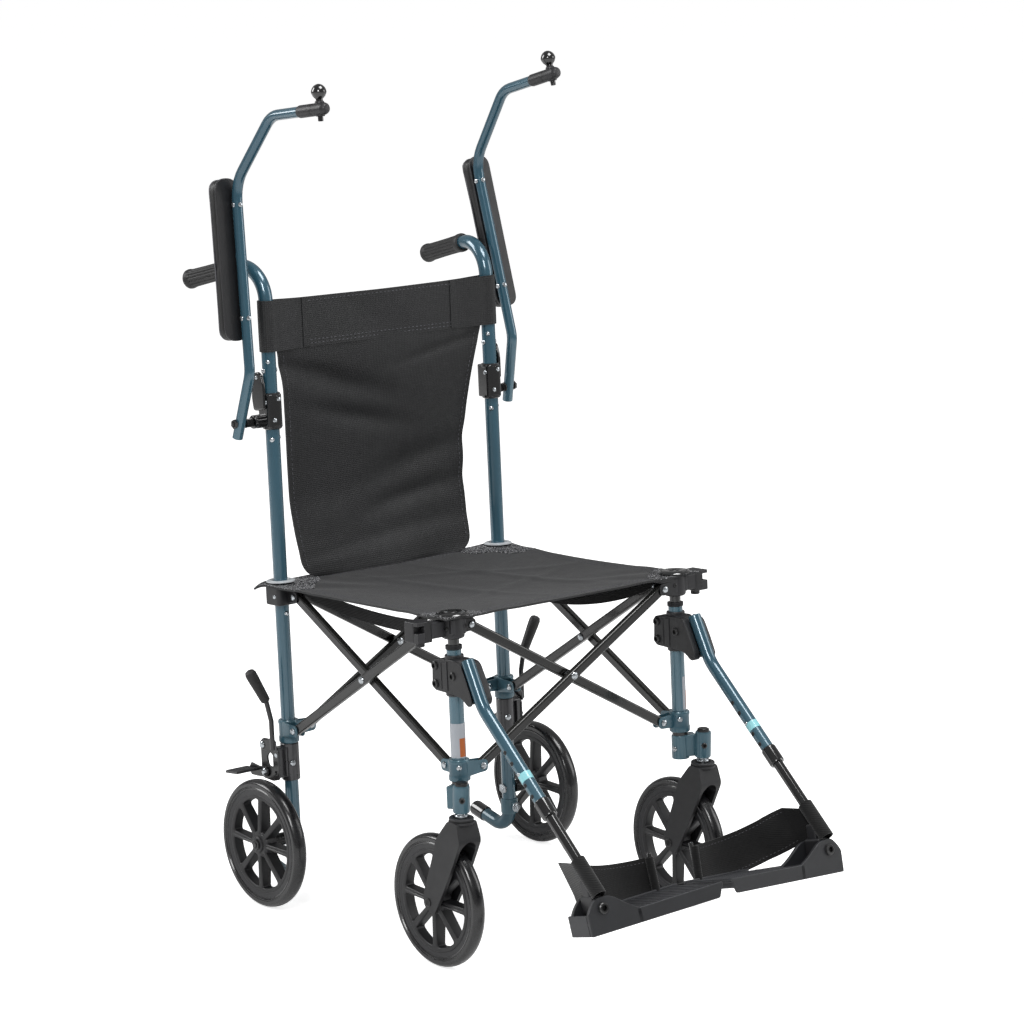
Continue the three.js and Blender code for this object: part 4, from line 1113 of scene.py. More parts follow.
def footrest_tubes(side):
    """Hanger tube with its ferrule, band and holes, and the tube that slides in it."""
    out = side.out
    end = on_hanger(out, 0)
    end_frame = aim(end, HANGER_WAY)
    side.add("hanger_tube_v", "hanger", [sweep(
        [(out * HANGER_X, -37, 456), (out * HANGER_X, -70, 389), end], [70], HANGER_R, 40,
        bores=(0, 6))], TEAL)
    ferrule = [(8.1, -14), (10.6, -14), (11.4, -13), (11.6, -11), (11.6, 12.6), (10.8, 14.4),
               (8.1, 14.4)]
    side.add("hanger_ferrule", "hanger", [ring(ferrule, 44, end_frame)], ENAMEL)
    band = [(9.7, -63), (9.98, -63), (10.02, -62.6), (10.02, -50.4), (9.98, -50), (9.7, -50)]
    side.add("hanger_band", "hanger", [ring(band, 44, end_frame)], CYAN)

    def on_right_face(along):
        return aim(np.array(on_hanger(out, along)) + np.array(RIGHT) * 9.75, RIGHT)

    hole = [(0, 0.25), (2.9, 0.25), (3.4, 0.1), (3.4, -1.5), (0, -1.5)]
    side.add("hanger_holes", "hanger",
             [lathe(hole, 22, on_right_face(along)) for along in (-104, -84, -44, -24)],
             DARK_STEEL)
    button = [(0, 1.9), (1.4, 1.7), (2.6, 0.9), (3.0, 0), (3.0, -2.6), (0, -2.6)]
    side.add("length_button", "lower", [lathe(button, 22, on_right_face(-64))], ZINC)
    foot = on_hanger(out, (-297 - HANGER_END[0]) / HANGER_WAY[1])
    side.add("lower_tube_v", "lower", [sweep([on_hanger(out, -70), foot], [], 7.8, 36)], ENAMEL)
    block_outline = rounded([(-10.6, -8.6), (10.6, -8.6), (10.6, 19), (-10.6, 19)], 5)
    side.add("lower_block", "lower", [plate(block_outline, -12, 18, bevel=1.8),
                                      block(-8.5, 8.5, -4, 14, 14, 40, 3)],
             PLASTIC, side.frame["plate"])
    side.add("footplate_bolt_v", "lower", [
        rod((0, -19.5, 0), REAR, 5, 47.4, 0.4), cap_screw((0, -19.3, 0), FRONT, 8, 4.2),
        nut((0, 26.6, 0), REAR, 7.4, 2.4)], DARK_STEEL, side.frame["plate"])


def footplate(side):
    """Ribbed tray reaching inwards from its bolt, and the post for the heel strap."""
    out, reach = side.out, 210.5
    tray = rounded(outwards(out, [
        (26.6, -18.6), (26.6, 35), (-30, 59), (-95, 91.6), (-reach + 10.5, 91.6),
        (-reach, -18.6)]), [2, 8, 20, 16, 5, 2])
    lug = rounded(outwards(out, [
        (26.8, -36), (-64, -36), (-64, -15.5), (-46, -6), (-20, 12.6), (-8, 16), (9, 16),
        (20, 6), (26.8, -4)]), [3, 0, 4, 10, 8, 6, 6, 6, 3])
    wall = rounded(outwards(out, [
        (-56, -36), (-reach + 10, -36), (-reach + 0.5, -16), (-reach + 2, -14.2),
        (-56, -14.6)]), [0, 3, 2, 1, 0])
    shells = [plate(tray, -20, -16, "z", bevel=1.2), plate(lug, -19.2, -13.4, bevel=1.3),
              plate(lug, 20.2, 26, bevel=1.3), plate(wall, -19.2, -13.8, bevel=1.2),
              block(out * 22, out * 26.9, -12.6, 34, -35.6, -5, 1.4)]
    for k in range(5):      # ribs underneath
        x = out * (-52 - k * 36)
        shells.append(block(x - 1.4, x + 1.4, -14, 76 if k else 40, -29, -19, 0.6, 1))
    shells.append(block(-out * 60, out * (14 - reach), 40, 43.2, -29, -19, 0.8, 1))
    for k in range(13):     # tread lines on top
        x = out * (-72 - k * 10)
        shells.append(block(x - 1.2, x + 1.2, -6, 78 if k > 1 else 66, -16.4, -14.9, 0.6, 1))
    shells.append(block(-out * 66, out * (8 - reach), 84.5, 88, -16.5, -13.2, 1.0, 2))
    side.add("footplate_v", "plate", shells, PLATE_PLASTIC)
    foot = [(0, 0), (6, 0), (6, 3), (4.6, 4.6), (0, 4.6)]
    side.add("strap_post", "plate", [
        rod((-out * 168, 90, -18), (0.06 * -out, 0.05, 1), 3.4, 58, 1.2, 24),
        lathe(foot, 28, aim((-out * 168, 90, -16.6), UP))], ENAMEL)


# ---------------------------------------------------------------- cloth tools
def normals(grid):
    crossed = np.cross(np.gradient(grid, axis=0), np.gradient(grid, axis=1))
    return crossed / np.maximum(np.linalg.norm(crossed, axis=2, keepdims=True), 1e-9)


def sheet(grid, thickness):
    """Closed shell about a grid of points [rows, columns, 3]; thickness may be a grid."""
    rows, columns = grid.shape[:2]
    thickness = np.broadcast_to(np.asarray(thickness, float), (rows, columns))[..., None]
    offset = normals(grid) * thickness / 2
    top, bottom = (grid + offset).reshape(-1, 3), (grid - offset).reshape(-1, 3)
    other = rows * columns
    faces = []
    for i in range(rows - 1):
        for j in range(columns - 1):
            a, b = i * columns + j, (i + 1) * columns + j
            faces += [(a, b, b + 1, a + 1),
                      (other + a, other + a + 1, other + b + 1, other + b)]
    rim = [i * columns for i in range(rows)]
    rim += [(rows - 1) * columns + j for j in range(1, columns)]
    rim += [i * columns + columns - 1 for i in range(rows - 2, -1, -1)]
    rim += range(columns - 2, 0, -1)
    for a, b in zip(rim, rim[1:] + rim[:1]):
        faces.append((a, b, other + b, other + a))
    return np.vstack([top, bottom]), faces


def stitches(line, normal, length=4.2, gap=3.4, width=0.9, lift=0.2):
    """Thread stitches along a polyline, with one surface normal or one for each point."""
    line = np.asarray(line, float)
    normal = np.broadcast_to(np.asarray(normal, float), line.shape)
    height = 0.7
    travel = np.concatenate([[0], np.cumsum(np.linalg.norm(np.diff(line, axis=0), axis=1))])

    def along(values, t):
        return np.array([np.interp(t, travel, values[:, k]) for k in range(3)])

    shells = []
    t = gap
    while t + length < travel[-1]:
        start, stop = along(line, t), along(line, t + length)
        up = unit(along(normal, t + length / 2))
        across = np.cross(up, unit(stop - start))
        verts = []
        for place, size in ((start, 0.35), (start * 0.75 + stop * 0.25, 1),
                            (start * 0.25 + stop * 0.75, 1), (stop, 0.35)):
            for x, y in ((-1, -0.6), (1, -0.6), (0.6, 1), (-0.6, 1)):
                verts.append(place + across * x * width / 2 * size
                             + up * (lift + y * height / 2 * size))
        shells.append((np.array(verts), strip(0, 3, 4) + [(0, 1, 2, 3), (15, 14, 13, 12)]))
        t += length + gap
    return shells


def smoothstep(t):
    return t * t * (3 - 2 * t)


def shares_and_disp(left, second, x, y, z):
    """Attributes for `follow`: four shares, and the move (mm, along POST's axes)."""
    return {"w0": (1 - left) * (1 - second), "w1": left * (1 - second),
            "w2": (1 - left) * second, "w3": left * second,
            "disp": np.column_stack([x, y * COS + z * SIN, -y * SIN + z * COS]) / 1000}


GATHER = [(f"{name}_rear_corner_body", (POST @ np.array([x, HALF, 500, 1.0]))[:3])
          for name, x in (("right", -HALF), ("left", HALF))]


def hung_piece(name, shells, mat, bodies, attrs_at, **options):
    """Piece drawn in POST that hangs between four bodies and folds as the chair closes."""
    attrs = attrs_at(merge(shells)[0])
    obj = piece(name, bodies[0], POST, shells, mat, smooth=60, attrs=attrs, **options)
    follow(obj, bodies, GATHER)


# ---------------------------------------------------------------- seat
SEAT_HALF, SEAT_Z = 245.0, 517.5
SEAT_BODIES = ["right_rear_corner_body", "left_rear_corner_body",
               "right_front_corner_body", "left_front_corner_body"]
# Waves over the cloth: share of u, share of v, height, phase.
SEAT_WAVES = ((1, 0.55, 1.1, 0.4), (-1, 0.5, 0.9, 1.9), (0.2, 1, 0.8, 0.0))
# Straight folds left by storing it closed: share of v, share of u, offset, height, width.
SEAT_FOLDS = ((0.25, 1.0, -0.34, 2.2, 0.05), (0.2, 1.0, 0.18, 1.6, 0.04),
              (1.0, -0.35, 0.28, 1.6, 0.045), (0.9, 0.5, -0.42, 1.8, 0.05))


def seat_point(u, v):
    """Point of the seat in POST: u from -1 right to 1 left, v from -1 front to 1 rear."""
    x = u * (SEAT_HALF - 15.5 * (1 - v * v))
    y = (1 - v) / 2 * (-239 + 9 * (1 - u * u)) + (1 + v) / 2 * (245 - 10 * (1 - u * u))
    bowl = (1 - abs(u) ** 3.2) * (1 - abs(v) ** 2.6)
    z = SEAT_Z - 11.0 * bowl - 4.5 * (1 - v * v) * abs(u) ** 6
    z -= 3.0 * (1 - u * u) * abs(v) ** 8
    for along_u, along_v, height, phase in SEAT_WAVES:
        z += height * sin(5.2 * (along_u * u + along_v * v) + phase) * bowl
    # Soft pulls running in from the corner of this quarter.
    if u and v:
        angle = atan2(abs(v), abs(u)) - pi / 4
        reach = hypot(1 - abs(u), 1 - abs(v))
        z += (1.5 * cos(angle * 22) * exp(-(angle * 3.2) ** 2)
              * exp(-((reach - 0.42) / 0.26) ** 2))
    for along_v, along_u, offset, height, width in SEAT_FOLDS:
        distance = along_v * v + along_u * u + offset
        z += height * exp(-(distance / width) ** 2) * bowl
    # The outer points of the rear corners turn down.
    corner = max(0.0, (abs(u) - 0.9) / 0.1) * max(0.0, (v - 0.86) / 0.14)
    z -= 9 * corner * corner
    return np.array([x, y, z])


def seat_attrs(points):
    def share(t):
        t = np.clip(t, 0, 1)
        return 0.35 * smoothstep(t) + 0.65 * t

    u = np.clip(points[:, 0] / 205, -1, 1)
    v = np.clip(points[:, 1] / 205, -1, 1)
    bowl = (1 - np.abs(u) ** 2.2) * (1 - np.abs(v) ** 2.2)
    z = -150 * bowl ** 0.8 + 26 * np.cos(u * 9.0) * np.cos(v * 9.0) * bowl ** 0.5
    return shares_and_disp(share((points[:, 0] + HALF) / (2 * HALF)),
                           share((HALF - points[:, 1]) / (2 * HALF)),
                           10 * np.sin(v * 11) * bowl, 10 * np.sin(u * 11) * bowl, z)


def seat_piece(name, shells, mat, **options):
    hung_piece(name, shells, mat, SEAT_BODIES, seat_attrs, **options)


def seat_cloth():
    """The sheet with its thicker hems, and two rows of stitches along each edge."""
    steps = np.linspace(-1, 1, 73)
    grid = np.array([[seat_point(u, v) for v in steps] for u in steps])
    edge = np.minimum(1 - np.abs(steps)[:, None], 1 - np.abs(steps)[None, :])
    seat_piece("seat_cloth", [sheet(grid, 2.0 + 1.1 * (edge < 0.045))], SEAT_CLOTH,
               replaces="seat_sling")
    shells, end = [], 0.84
    for row in (0.94, 0.905):
        for start, stop in (((-row, -end), (-row, end)), ((row, -end), (row, end)),
                            ((-end, -row), (end, -row)), ((-end, row), (end, row))):
            start, stop = np.array(start), np.array(stop)
            line = np.array([seat_point(*(start * (1 - t) + stop * t))
                             for t in np.linspace(0, 1, 61)])
            line[:, 2] += 1.25
            shells += stitches(line, UP)
    seat_piece("seat_stitches", shells, THREAD)


def seat_patches():
    """Stitched fan-shaped patches on the corners of the seat."""
    for sign_u, sign_v in ((-1, -1), (1, -1), (-1, 1), (1, 1)):
        size = 0.385 if sign_v > 0 else 0.30
        rows = []
        for inward in (i / 18 for i in range(19)):
            row = []
            for angle in (j / 22 * pi / 2 for j in range(23)):
                reach = size * (1 + 0.10 * cos(4 * angle))
                from_u = cos(angle) ** 0.8 * reach * inward
                from_v = sin(angle) ** 0.8 * reach * inward
                point = seat_point(sign_u * max(1 - from_u, 0), sign_v * max(1 - from_v, 0))
                point[2] += 1.45
                row.append(point)
            rows.append(row)
        grid = np.array(rows)
        if sign_u * sign_v < 0:
            grid = grid[:, ::-1]
        corner = grid[0, 0].copy()
        grid[0] = corner + (grid[1] - corner) * 0.12
        tag = ("r" if sign_u < 0 else "l") + ("r" if sign_v > 0 else "f")
        seat_piece(f"seat_patch_{tag}", [sheet(grid, 1.1)], PATCH)
        shells = []
        for row in (-2, -4):
            shells += stitches(grid[row] + (0, 0, 0.6), UP, width=1.1)
        seat_piece(f"seat_patch_thread_{tag}", shells, THREAD)


def seat_rings(side):
    """Grommet and washer round the rear post, ring round the front button."""
    grommet = [(11.9, 520.2), (13.2, 520.6), (14.4, 522.6), (16.6, 523.6), (19.6, 523.2),
               (22.4, 521.8), (22.4, 520.4), (14, 519.6)]
    washer = [(11.9, 514.4), (25, 514.4), (25.6, 515.2), (25, 516.0), (11.9, 516.0)]
    button_ring = [(19.8, 519.0), (20.2, 521.4), (21.6, 522.4), (23.6, 521.6), (25.0, 519.9),
                   (25.0, 519.0)]
    side.add("rear_grommet", "rear_corner_body", [ring(grommet, 56)], GROMMET)
    side.add("rear_washer", "rear_corner_body", [ring(washer, 48)], PLASTIC)
    side.add("front_ring", "front_corner_body", [ring(button_ring, 56)], ENAMEL)


def seat_webbing():
    """Two diagonal straps under the seat, and one strap along each side edge."""
    across = np.linspace(-1, 1, 7)
    for tag, sign, drop in (("a", 1, 30), ("b", -1, 34)):
        way = unit([sign, 1, 0])
        half = np.array([-way[1], way[0], 0]) * 17
        rows = []
        for t in (i / 40 for i in range(41)):
            z = SEAT_Z - 5.5 - drop * (4 * t * (1 - t)) ** 0.75
            middle = np.array([sign * (-200 + 400 * t), -200 + 400 * t, z])
            rows.append([middle + half * k for k in across])
        seat_piece(f"under_strap_{tag}", [sheet(np.array(rows), 1.5)], WEBBING)
    for side in SIDES:
        rows = []
        for t in (i / 40 for i in range(41)):
            sag = 4 * t * (1 - t)
            x, y, z = side.out * (188 - 38 * sag), 196 - 392 * t, SEAT_Z - 9 - 40 * sag ** 0.8
            rows.append([np.array([x + side.out * 3.0 * k, y, z + 11 * k]) for k in across])
        seat_piece(f"{side.name}_side_web", [sheet(np.array(rows), 1.6)], WEBBING)


# ---------------------------------------------------------------- back
BACK_LOW, BACK_HIGH = 516.5, 884
# Height, half width, bow to the rear.
BACK_Z, BACK_HALF, BACK_BOW = zip(
    (516, 165, 6), (543, 166.5, 10), (580, 169, 21), (635, 171, 31), (690, 173, 29),
    (747, 176.5, 23), (800, 182.5, 12), (851, 191, 1.5), (877, 200, 0), (960, 201, 0))
# Diagonal creases: height at the middle, slope, depth, width, place and spread along u.
BACK_CREASES = ((795, -52, 9.0, 18, -0.45, 0.55), (748, -40, 6.5, 15, -0.2, 0.5),
                (655, 46, 8.5, 22, 0.55, 0.6), (606, 30, 7.0, 16, 0.35, 0.6),
                (560, 14, 4.5, 11, -0.1, 0.8))
BACK_BODIES = ["right_rear_frame", "left_rear_frame",
               "right_rear_corner_body", "left_rear_corner_body"]


def back_point(u, z):
    """Point of the back in POST: u from -1 right to 1 left, at height z."""
    def averaged(values):
        return float(np.mean([np.interp(z + d, BACK_Z, values) for d in np.linspace(-16, 16, 9)]))

    half, corner = averaged(BACK_HALF), 26
    above = BACK_LOW + corner - z
    if above > 0:           # rounded lower corners
        half -= corner - sqrt(max(0, corner ** 2 - above ** 2))
    y = HALF + averaged(BACK_BOW) * (1 - 0.10 * u * u)
    low = np.clip((900 - z) / 360, 0, 1)
    drape = 4.6 * sin(2.6 * u + 0.011 * z) + 2.2 * sin(6.1 * u - 0.02 * z + 1.1)
    y += low * (1 - 0.55 * abs(u) ** 3) * drape
    for middle, slope, depth, width, place, spread in BACK_CREASES:
        y += depth * exp(-((z - middle - slope * u) / width) ** 2) \
            * exp(-((u - place) / spread) ** 2)
    # Slack above the lower hem, then a pull from each end of the band.
    y += 3.6 * exp(-(((z - 575) - 10 * u) / 16) ** 2) * (1 - u * u)
    distance = (z - 862) + 62 * (0.93 - u) * 0.62
    fade = np.clip((u - 0.05) / 0.35, 0, 1) * np.clip((1.02 - u) / 0.15, 0, 1)
    y += 6.0 * exp(-(distance / 9.0) ** 2) * fade
    distance = (z - 850) + 40 * (u + 0.9)
    y += 2.2 * exp(-(distance / 10.0) ** 2) * np.clip((-u - 0.35) / 0.3, 0, 1)
    return np.array([u * half, y, z])


def back_attrs(points):
    low = smoothstep(np.clip((840 - points[:, 2]) / 300, 0, 1))
    u = np.clip(points[:, 0] / 185, -1, 1)
    inner = 1 - np.abs(u) ** 6
    y = 26 * inner * np.sin(u * pi * 2.5 + 0.4) + 16 * inner + low * (1 - low) * 90 * inner
    left = np.clip((points[:, 0] + 185) / 370, 0, 1)
    return shares_and_disp(left, low, 0 * y, y, 0 * y)


def back_piece(name, shells, mat, **options):
    hung_piece(name, shells, mat, BACK_BODIES, back_attrs, **options)


def back_sheet():
    heights = BACK_LOW + (BACK_HIGH - BACK_LOW) * np.linspace(0, 1, 82) ** 1.06
    steps = np.linspace(-1, 1, 65)
    grid = np.array([[back_point(u, z) for z in heights] for u in steps])
    edge = np.minimum((1 - np.abs(steps))[:, None] * 185, (heights - BACK_LOW)[None, :])
    back_piece("back_cloth_sheet", [sheet(grid, 1.9 + 1.3 * (edge < 9))], BACK_CLOTH,
               replaces="back_sling")


# Top band: one closed loop of doubled cloth round both posts, sewn together at SEAM_X.
BAND_LOW, BAND_HIGH = 877, 955
SEAM_X = 150.0
BAND_GAP = 0.75             # inner face from the middle plane, between the seams
BAND_CLOTH = 1.5


def band_loop(offset):
    """Closed plan outline of the band, offset outwards from its inner face."""
    radius, gap = 12.1 + offset, BAND_GAP + offset
    open_x = HALF - 9       # where the faces meet the post's round
    overlap = asin(9 / radius)

    def spread(x):
        eased = smoothstep((x - SEAM_X) / (open_x - SEAM_X))
        return gap * (1 - eased) + radius * cos(overlap) * eased

    left = [(x, HALF - spread(x)) for x in np.linspace(SEAM_X, open_x, 8)]
    left += [(HALF + radius * cos(a), HALF + radius * sin(a))
             for a in np.linspace(-pi / 2 - overlap, pi / 2 + overlap, 19)[1:-1]]
    left += [(x, HALF + spread(x)) for x in np.linspace(open_x, SEAM_X, 8)]
    middle = np.linspace(SEAM_X, -SEAM_X, 24)[1:-1]
    return (left + [(x, HALF + gap) for x in middle]
            + [(-x, 2 * HALF - y) for x, y in left] + [(-x, HALF - gap) for x in middle])


def band_wave(x, z):
    """Soft waves of the band between its seams."""
    fade = np.clip(1 - (np.abs(x) / SEAM_X) ** 8, 0, 1)
    u = x / 200
    return fade * (1.5 * np.sin(3.1 * u + 0.03 * z) + 0.9 * np.sin(8.3 * u + 0.05 * z + 0.8))


def on_band(x, z, face):
    """Point just off the band's front (-1) or rear (1) face."""
    return np.array([x, HALF + face * (BAND_GAP + BAND_CLOTH + 0.15) + band_wave(x, z), z])


def back_band():
    rows = 15
    outer, inner = [], []
    for k in range(rows):
        z = BAND_LOW + (BAND_HIGH - BAND_LOW) * k / (rows - 1)
        puff = 0.21 * sin(pi * k / (rows - 1))
        outer.append([(x, y, z) for x, y in band_loop(BAND_CLOTH + puff)])
        inner.append([(x, y, z) for x, y in band_loop(0.0)])
    faces_of_band = []
    for grid in (np.array(outer), np.array(inner)):
        grid[..., 1] += band_wave(grid[..., 0], grid[..., 2])
        grid[..., 2] -= 2.0 * (1 - (grid[..., 0] / 200) ** 2) * (grid[..., 2] > 940)
        faces_of_band.append(grid.reshape(-1, 3))
    size = len(outer[0])
    other, top = rows * size, (rows - 1) * size
    faces = []
    for a, b, c, d in strip(0, rows - 1, size):
        faces += [(a, b, c, d), (other + a, other + d, other + c, other + b)]
    for i in range(size):
        j = (i + 1) % size
        faces += [(i, other + i, other + j, j),
                  (top + i, top + j, other + top + j, other + top + i)]
    back_piece("back_band", [(np.vstack(faces_of_band), faces)], BACK_CLOTH)


def back_stitches():
    shells = []

    def sew(line, face):
        shells.extend(stitches(line, (0, face, 0), lift=0.05))

    for face in (-1, 1):
        for z in (BAND_LOW + 5, BAND_LOW + 10.5, BAND_HIGH - 7):
            sew([on_band(x, z, face) for x in np.linspace(-148, 148, 60)], face)
        for x in (-148, -141, 141, 148):
            sew([on_band(x, z, face) + (0, face * 0.25, 0)
                 for z in np.linspace(BAND_LOW + 2, BAND_HIGH - 3, 20)], face)
    for u in (-0.955, 0.955):
        line = np.array([back_point(u, z) for z in np.linspace(532, 872, 80)])
        for face in (-1, 1):
            sew(line + (0, face * 1.7, 0), face)
    back_piece("back_stitches", shells, THREAD)


def band_seams():
    """A second layer on the band's front face, just inside each seam."""
    heights = np.linspace(BAND_LOW + 0.6, BAND_HIGH - 0.6, 12)
    for side in SIDES:
        grid = np.array([[on_band(side.out * x, z, -1) + (0, -0.5, 0) for z in heights]
                         for x in np.linspace(138, SEAM_X, 5)])
        back_piece(f"band_seam_{side.name[0]}", [sheet(grid, 0.9)], BACK_CLOTH)


# ---------------------------------------------------------------- heel straps
def strap_grid(side):
    """Strap in the footplate's frame, and for each row its share of the lower tube.

    It loops round the tube, hangs to the strap post in a curve and loops round that."""
    out = side.out
    half = 31 * np.linspace(-1, 1, 11)[:, None]
    ends = np.array([(out * 10, 44, 44.0), (out * -58, 112, 6.0), (out * -166, 96, 3.0)])

    def curve(t):
        first, middle, last = ends
        return ((1 - t) ** 2 * first + 2 * t * (1 - t) * middle + t * t * last,
                unit(2 * (1 - t) * (middle - first) + 2 * t * (last - middle)))

    to_plate = np.linalg.inv(side.frame["plate"]) @ side.frame["hanger"]
    tube_up = -(to_plate[:3, :3] @ HANGER_WAY)
    tube = (to_plate @ np.array([*on_hanger(out, 0), 1.0]))[:3]
    tube = tube + tube_up * ((ends[0][2] - tube[2]) / tube_up[2])
    start, way = curve(0.0)
    first = unit(np.cross(tube_up, [0, 1, 0.0]))
    second = np.cross(tube_up, first)
    leaves = atan2((start - tube) @ second, (start - tube) @ first)
    turning = cos(leaves) * (way @ second) - sin(leaves) * (way @ first)
    turn_sign = -1 if turning > 0 else 1
    rows, shares = [], []
    for k in np.linspace(1.86 * pi, 0, 30):
        angle = leaves + turn_sign * k
        middle = tube + (first * cos(angle) + second * sin(angle)) * (10.2 + 1.2 * (k < 0.2))
        rows.append(middle + tube_up * half)
        shares.append(1.0)
    for t in np.linspace(0.05, 1, 44):
        middle, way = curve(t)
        upright = unit([way[0] * -way[2], 0, 1])
        blend = unit(tube_up * max(0, 1 - t / 0.3) + upright * min(1, t / 0.3))
        middle = middle + np.array([0, 1.6 * sin(t * 9), 0]) * sin(pi * t)
        rows.append(middle + blend * half)
        shares.append(float(np.clip(1 - t / 0.8, 0, 1) ** 1.3))
    for k in np.linspace(0.3, 1.7 * pi, 20):
        angle = pi / 2 + out * k
        middle = np.array([out * -168, 90, 3.0]) + np.array([cos(angle), sin(angle), 0]) * 5.4
        rows.append(middle + np.array(UP) * half)
        shares.append(0.0)
    return np.array(rows), np.array(shares)


def heel_strap(side):
    grid, shares = strap_grid(side)

    def strap_piece(name, shells, mat, share):
        obj = side.add(name, "plate", shells, mat, smooth=60,
                       attrs={"w0": share, "w1": 1 - share})
        follow(obj, [f"{side.name}_lower", f"{side.name}_plate"])

    share = np.repeat(shares, grid.shape[1])
    strap_piece("heel_strap_v", [sheet(grid, 1.7)], WEBBING, np.concatenate([share, share]))
    # Stitches along both edges of the hanging part; each takes the nearest strap point's share.
    shells = []
    normal = normals(grid)[30:74]
    for j in (1, 9):
        for face in (-1, 1):
            off = normal[:, j] * face
            shells += stitches(grid[30:74, j] + off * 0.95, off, length=3.4, gap=3.0,
                               width=0.8, lift=0.0)
    points = grid.reshape(-1, 3)
    per_stitch = 16
    near = [share[np.argmin(((points - p) ** 2).sum(1))]
            for p in merge(shells)[0][::per_stitch]]
    strap_piece("strap_stitches", shells, THREAD, np.repeat(near, per_stitch))


# ---------------------------------------------------------------- arm pads
def swell(verts, faces, voxel, pressure, cap, frames=20):
    """Cloth-inflated copy of a closed shell in metres; no point moves beyond the cap."""
    mesh = bpy.data.meshes.new("swell")
    mesh.from_pydata(verts.tolist(), [], faces)
    obj = add_object("swell", mesh)
    remesh = obj.modifiers.new("r", "REMESH")
    remesh.mode, remesh.voxel_size = "VOXEL", voxel
    even = evaluated_mesh(obj)
    obj.modifiers.clear()
    obj.data = even
    rest, faces = shell_from_mesh(even)
    blown = rest
    cloth = obj.modifiers.new("c", "CLOTH")
    settings = cloth.settings
    settings.quality = 6
    settings.use_pressure, settings.uniform_pressure_force = True, pressure
    settings.effector_weights.gravity = 0
    settings.tension_stiffness = settings.compression_stiffness = 15
    settings.shear_stiffness = 15
    cloth.point_cache.frame_start, cloth.point_cache.frame_end = 1, frames
    for frame in range(1, frames + 1):
        scene.frame_set(frame)
    blown = shell_from_mesh(evaluated_mesh(obj))[0]
    scene.frame_set(1)
    change = blown - rest
    length = np.linalg.norm(change, axis=1, keepdims=True)
    bpy.data.objects.remove(obj)
    return rest + change * np.minimum(1, cap / np.maximum(length, 1e-9)), faces


def closed_tube(places, radius, n=8):
    """Round cord along a closed loop that lies across y."""
    verts = []
    for i, place in enumerate(places):
        tangent = unit(places[(i + 1) % len(places)] - places[i - 1])
        first = np.array([0, 1.0, 0])
        second = np.cross(tangent, first)
        verts += [place + first * radius * cos(a) + second * radius * sin(a)
                  for a in np.linspace(0, 2 * pi, n + 1)[:-1]]
    count = len(verts)
    faces = [tuple(i % count for i in face) for face in strip(0, len(places), n)]
    return np.array(verts), faces


def arm_pad(side):
    """Soft cushion on a thin base along the arm's front, with a welt round it whose pale grey
    colour is a painted highlight along the pad's edge.
    """
    middle, width, low, high, thick = side.out * 12, 42, 126, 374, 28
    front_y = ARM_Y + ARM_R + thick
    base_y = ARM_Y + 8.6

    def outline(inset, radius):
        x, z0, z1 = width / 2 - inset, low + inset, high - inset
        return rounded([(middle - x, z0), (middle + x, z0), (middle + x, z1),
                        (middle - x, z1)], radius, 8)

    base = plate(outline(0.6, 20), base_y, base_y + 4.2, bevel=1.4)
    core = plate(outline(2.0, 19), base_y + 4.6, front_y - 1.8, bevel=5.0, res=4)
    verts, faces = swell(core[0] / 1000, core[1], voxel=0.0035, pressure=4.0, cap=0.0022)
    # Keep the cushion off its base and within the pad's thickness.
    verts[:, 1] = np.clip(verts[:, 1], (base_y + 4.3) / 1000, (front_y + 0.1) / 1000)
    pad = side.add("arm_pad_v", "arm", [(verts * 1000, faces)], PAD_SKIN, smooth=70)
    soft = pad.modifiers.new("soft", "SUBSURF")
    soft.levels = soft.render_levels = 1
    side.add("pad_base", "arm", [base], PLASTIC)
    # Welt cord round the cushion; its pale grey colour paints the highlight of the pad's edge
    # line.
    loop = [np.array((x, front_y - 8.6, z)) for x, z in outline(2.7, 18.5)]
    side.add("pad_welt", "arm", [closed_tube(loop, 1.05)], WELT_PAINTED_HIGHLIGHT, smooth=60)


# ---------------------------------------------------------------- stage, light, camera
def camera_level(tree, others, camera):
    """Socket with one value for camera rays and another for all other rays."""
    path = node(tree, "ShaderNodeLightPath")
    level = node(tree, "ShaderNodeMapRange", {
        "Value": path.outputs["Is Camera Ray"], "To Min": others, "To Max": camera})
    return level.outputs[0]


def floor():
    """Matt floor that glows to the camera only, so that it shows white."""
    mesh = bpy.data.meshes.new("floor")
    half, z = 40, -0.0005
    corners = [(-half, -half, z), (half, -half, z), (half, half, z), (-half, half, z)]
    mesh.from_pydata(corners, [], [(0, 1, 2, 3)])
    obj = add_object("floor", mesh)
    mat = bpy.data.materials.new("floor")
    mat.use_nodes = True
    tree = mat.node_tree
    inputs = tree.nodes["Principled BSDF"].inputs
    for key, value in (("Base Color", (0.93, 0.93, 0.93, 1)), ("Roughness", 0.95),
                       ("Specular IOR Level", 0.1), ("Emission Color", (1, 1, 1, 1))):
        inputs[key].default_value = value
    glow = camera_level(tree, others=0.0, camera=0.72)
    tree.links.new(glow, inputs["Emission Strength"])
    mesh.materials.append(mat)


def studio():
    """White surroundings that light the chair less than they show."""
    world = bpy.data.worlds.new("studio")
    scene.world = world
    world.use_nodes = True
    inputs = world.node_tree.nodes["Background"].inputs
    inputs["Color"].default_value = (1, 1, 1, 1)
    level = camera_level(world.node_tree, others=0.3, camera=1.0)
    world.node_tree.links.new(level, inputs["Strength"])


def placed_matrix(x, y, z, place):
    """Object matrix from three axes and a place in metres."""
    return Matrix([[x[i], y[i], z[i], place[i]] for i in range(3)] + [[0, 0, 0, 1]])


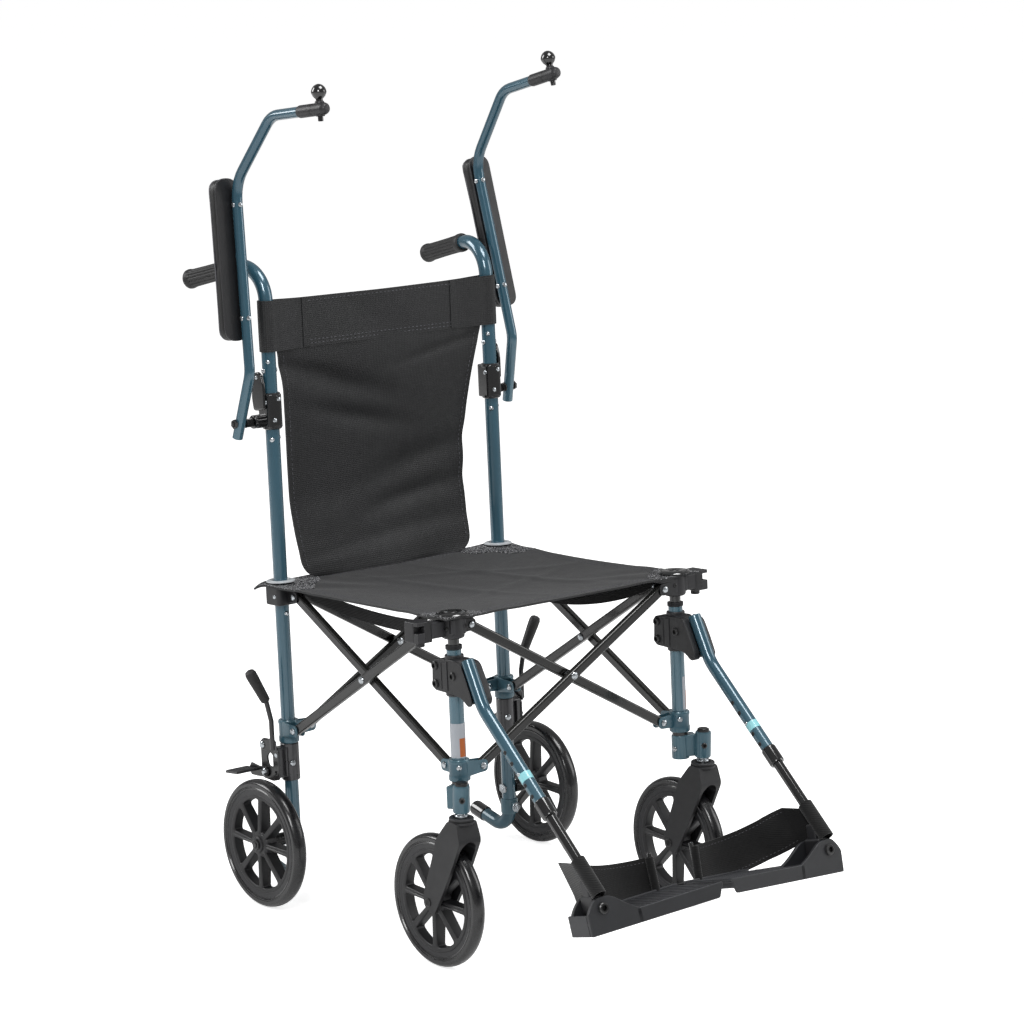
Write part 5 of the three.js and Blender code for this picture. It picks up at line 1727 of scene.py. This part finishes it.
def area_light(name, place, target, width, height, power):
    light = bpy.data.lights.new(name, "AREA")
    light.shape = "RECTANGLE"
    light.size, light.size_y, light.energy = width, height, power
    obj = bpy.data.objects.new(name, light)
    z = -unit(np.array(target, float) - np.array(place, float))
    x = unit(np.cross(UP, z))
    obj.matrix_world = placed_matrix(x, np.cross(z, x), z, place)
    scene.collection.objects.link(obj)


def camera():
    data = bpy.data.cameras.new("camera")
    data.lens, data.sensor_width = 128.606484, 36
    data.clip_start, data.clip_end = 0.5, 80
    obj = bpy.data.objects.new("camera", data)
    # Rotation vector from POST to the view's axes: x right, y down, z ahead.
    spin = np.array((1.63743, -0.61324, 0.46292))
    angle = np.linalg.norm(spin)
    x, y, z = spin / angle
    skew = np.array([[0, -z, y], [z, 0, -x], [-y, x, 0]])
    view = np.eye(3) + sin(angle) * skew + (1 - cos(angle)) * skew @ skew
    view = view @ turn("X", -LEAN)[:3, :3].T
    place = (POST @ np.array([-3400.47, -4361.12, 1484.02, 1.0]))[:3] / 1000
    obj.matrix_world = placed_matrix(view[0], -view[1], -view[2], place)
    scene.collection.objects.link(obj)
    scene.camera = obj


# ---------------------------------------------------------------- build
scissor_bars()
for chair_side in SIDES:
    for build in (rear_post, rear_wheel, push_grip, rear_corner, arm_collar, arm, brake,
                  tipping_foot, front_post, post_wraps, front_corner, caster, hanger_clamp,
                  footrest_tubes, footplate):
        build(chair_side)
seat_cloth()
seat_patches()
for chair_side in SIDES:
    seat_rings(chair_side)
seat_webbing()
back_sheet()
back_band()
back_stitches()
band_seams()
for build in (heel_strap, arm_pad):
    for chair_side in SIDES:
        build(chair_side)

floor()
studio()
# Metres and watts.
area_light("key", (-2.9, -2.6, 3.3), target=(0, 0, 0.6), width=1.1, height=1.6, power=95)
area_light("fill", (3.2, -2.2, 2.0), target=(0, 0, 0.6), width=1.8, height=2.4, power=42)
area_light("top", (0.3, -0.7, 3.5), target=(0, 0.1, 0.6), width=1.5, height=1.2, power=62)
area_light("rim", (-2.4, 3.0, 2.6), target=(0, 0, 0.7), width=1.4, height=2.2, power=80)
camera()
scene.view_settings.view_transform = "Standard"
scene.view_settings.look = "None"
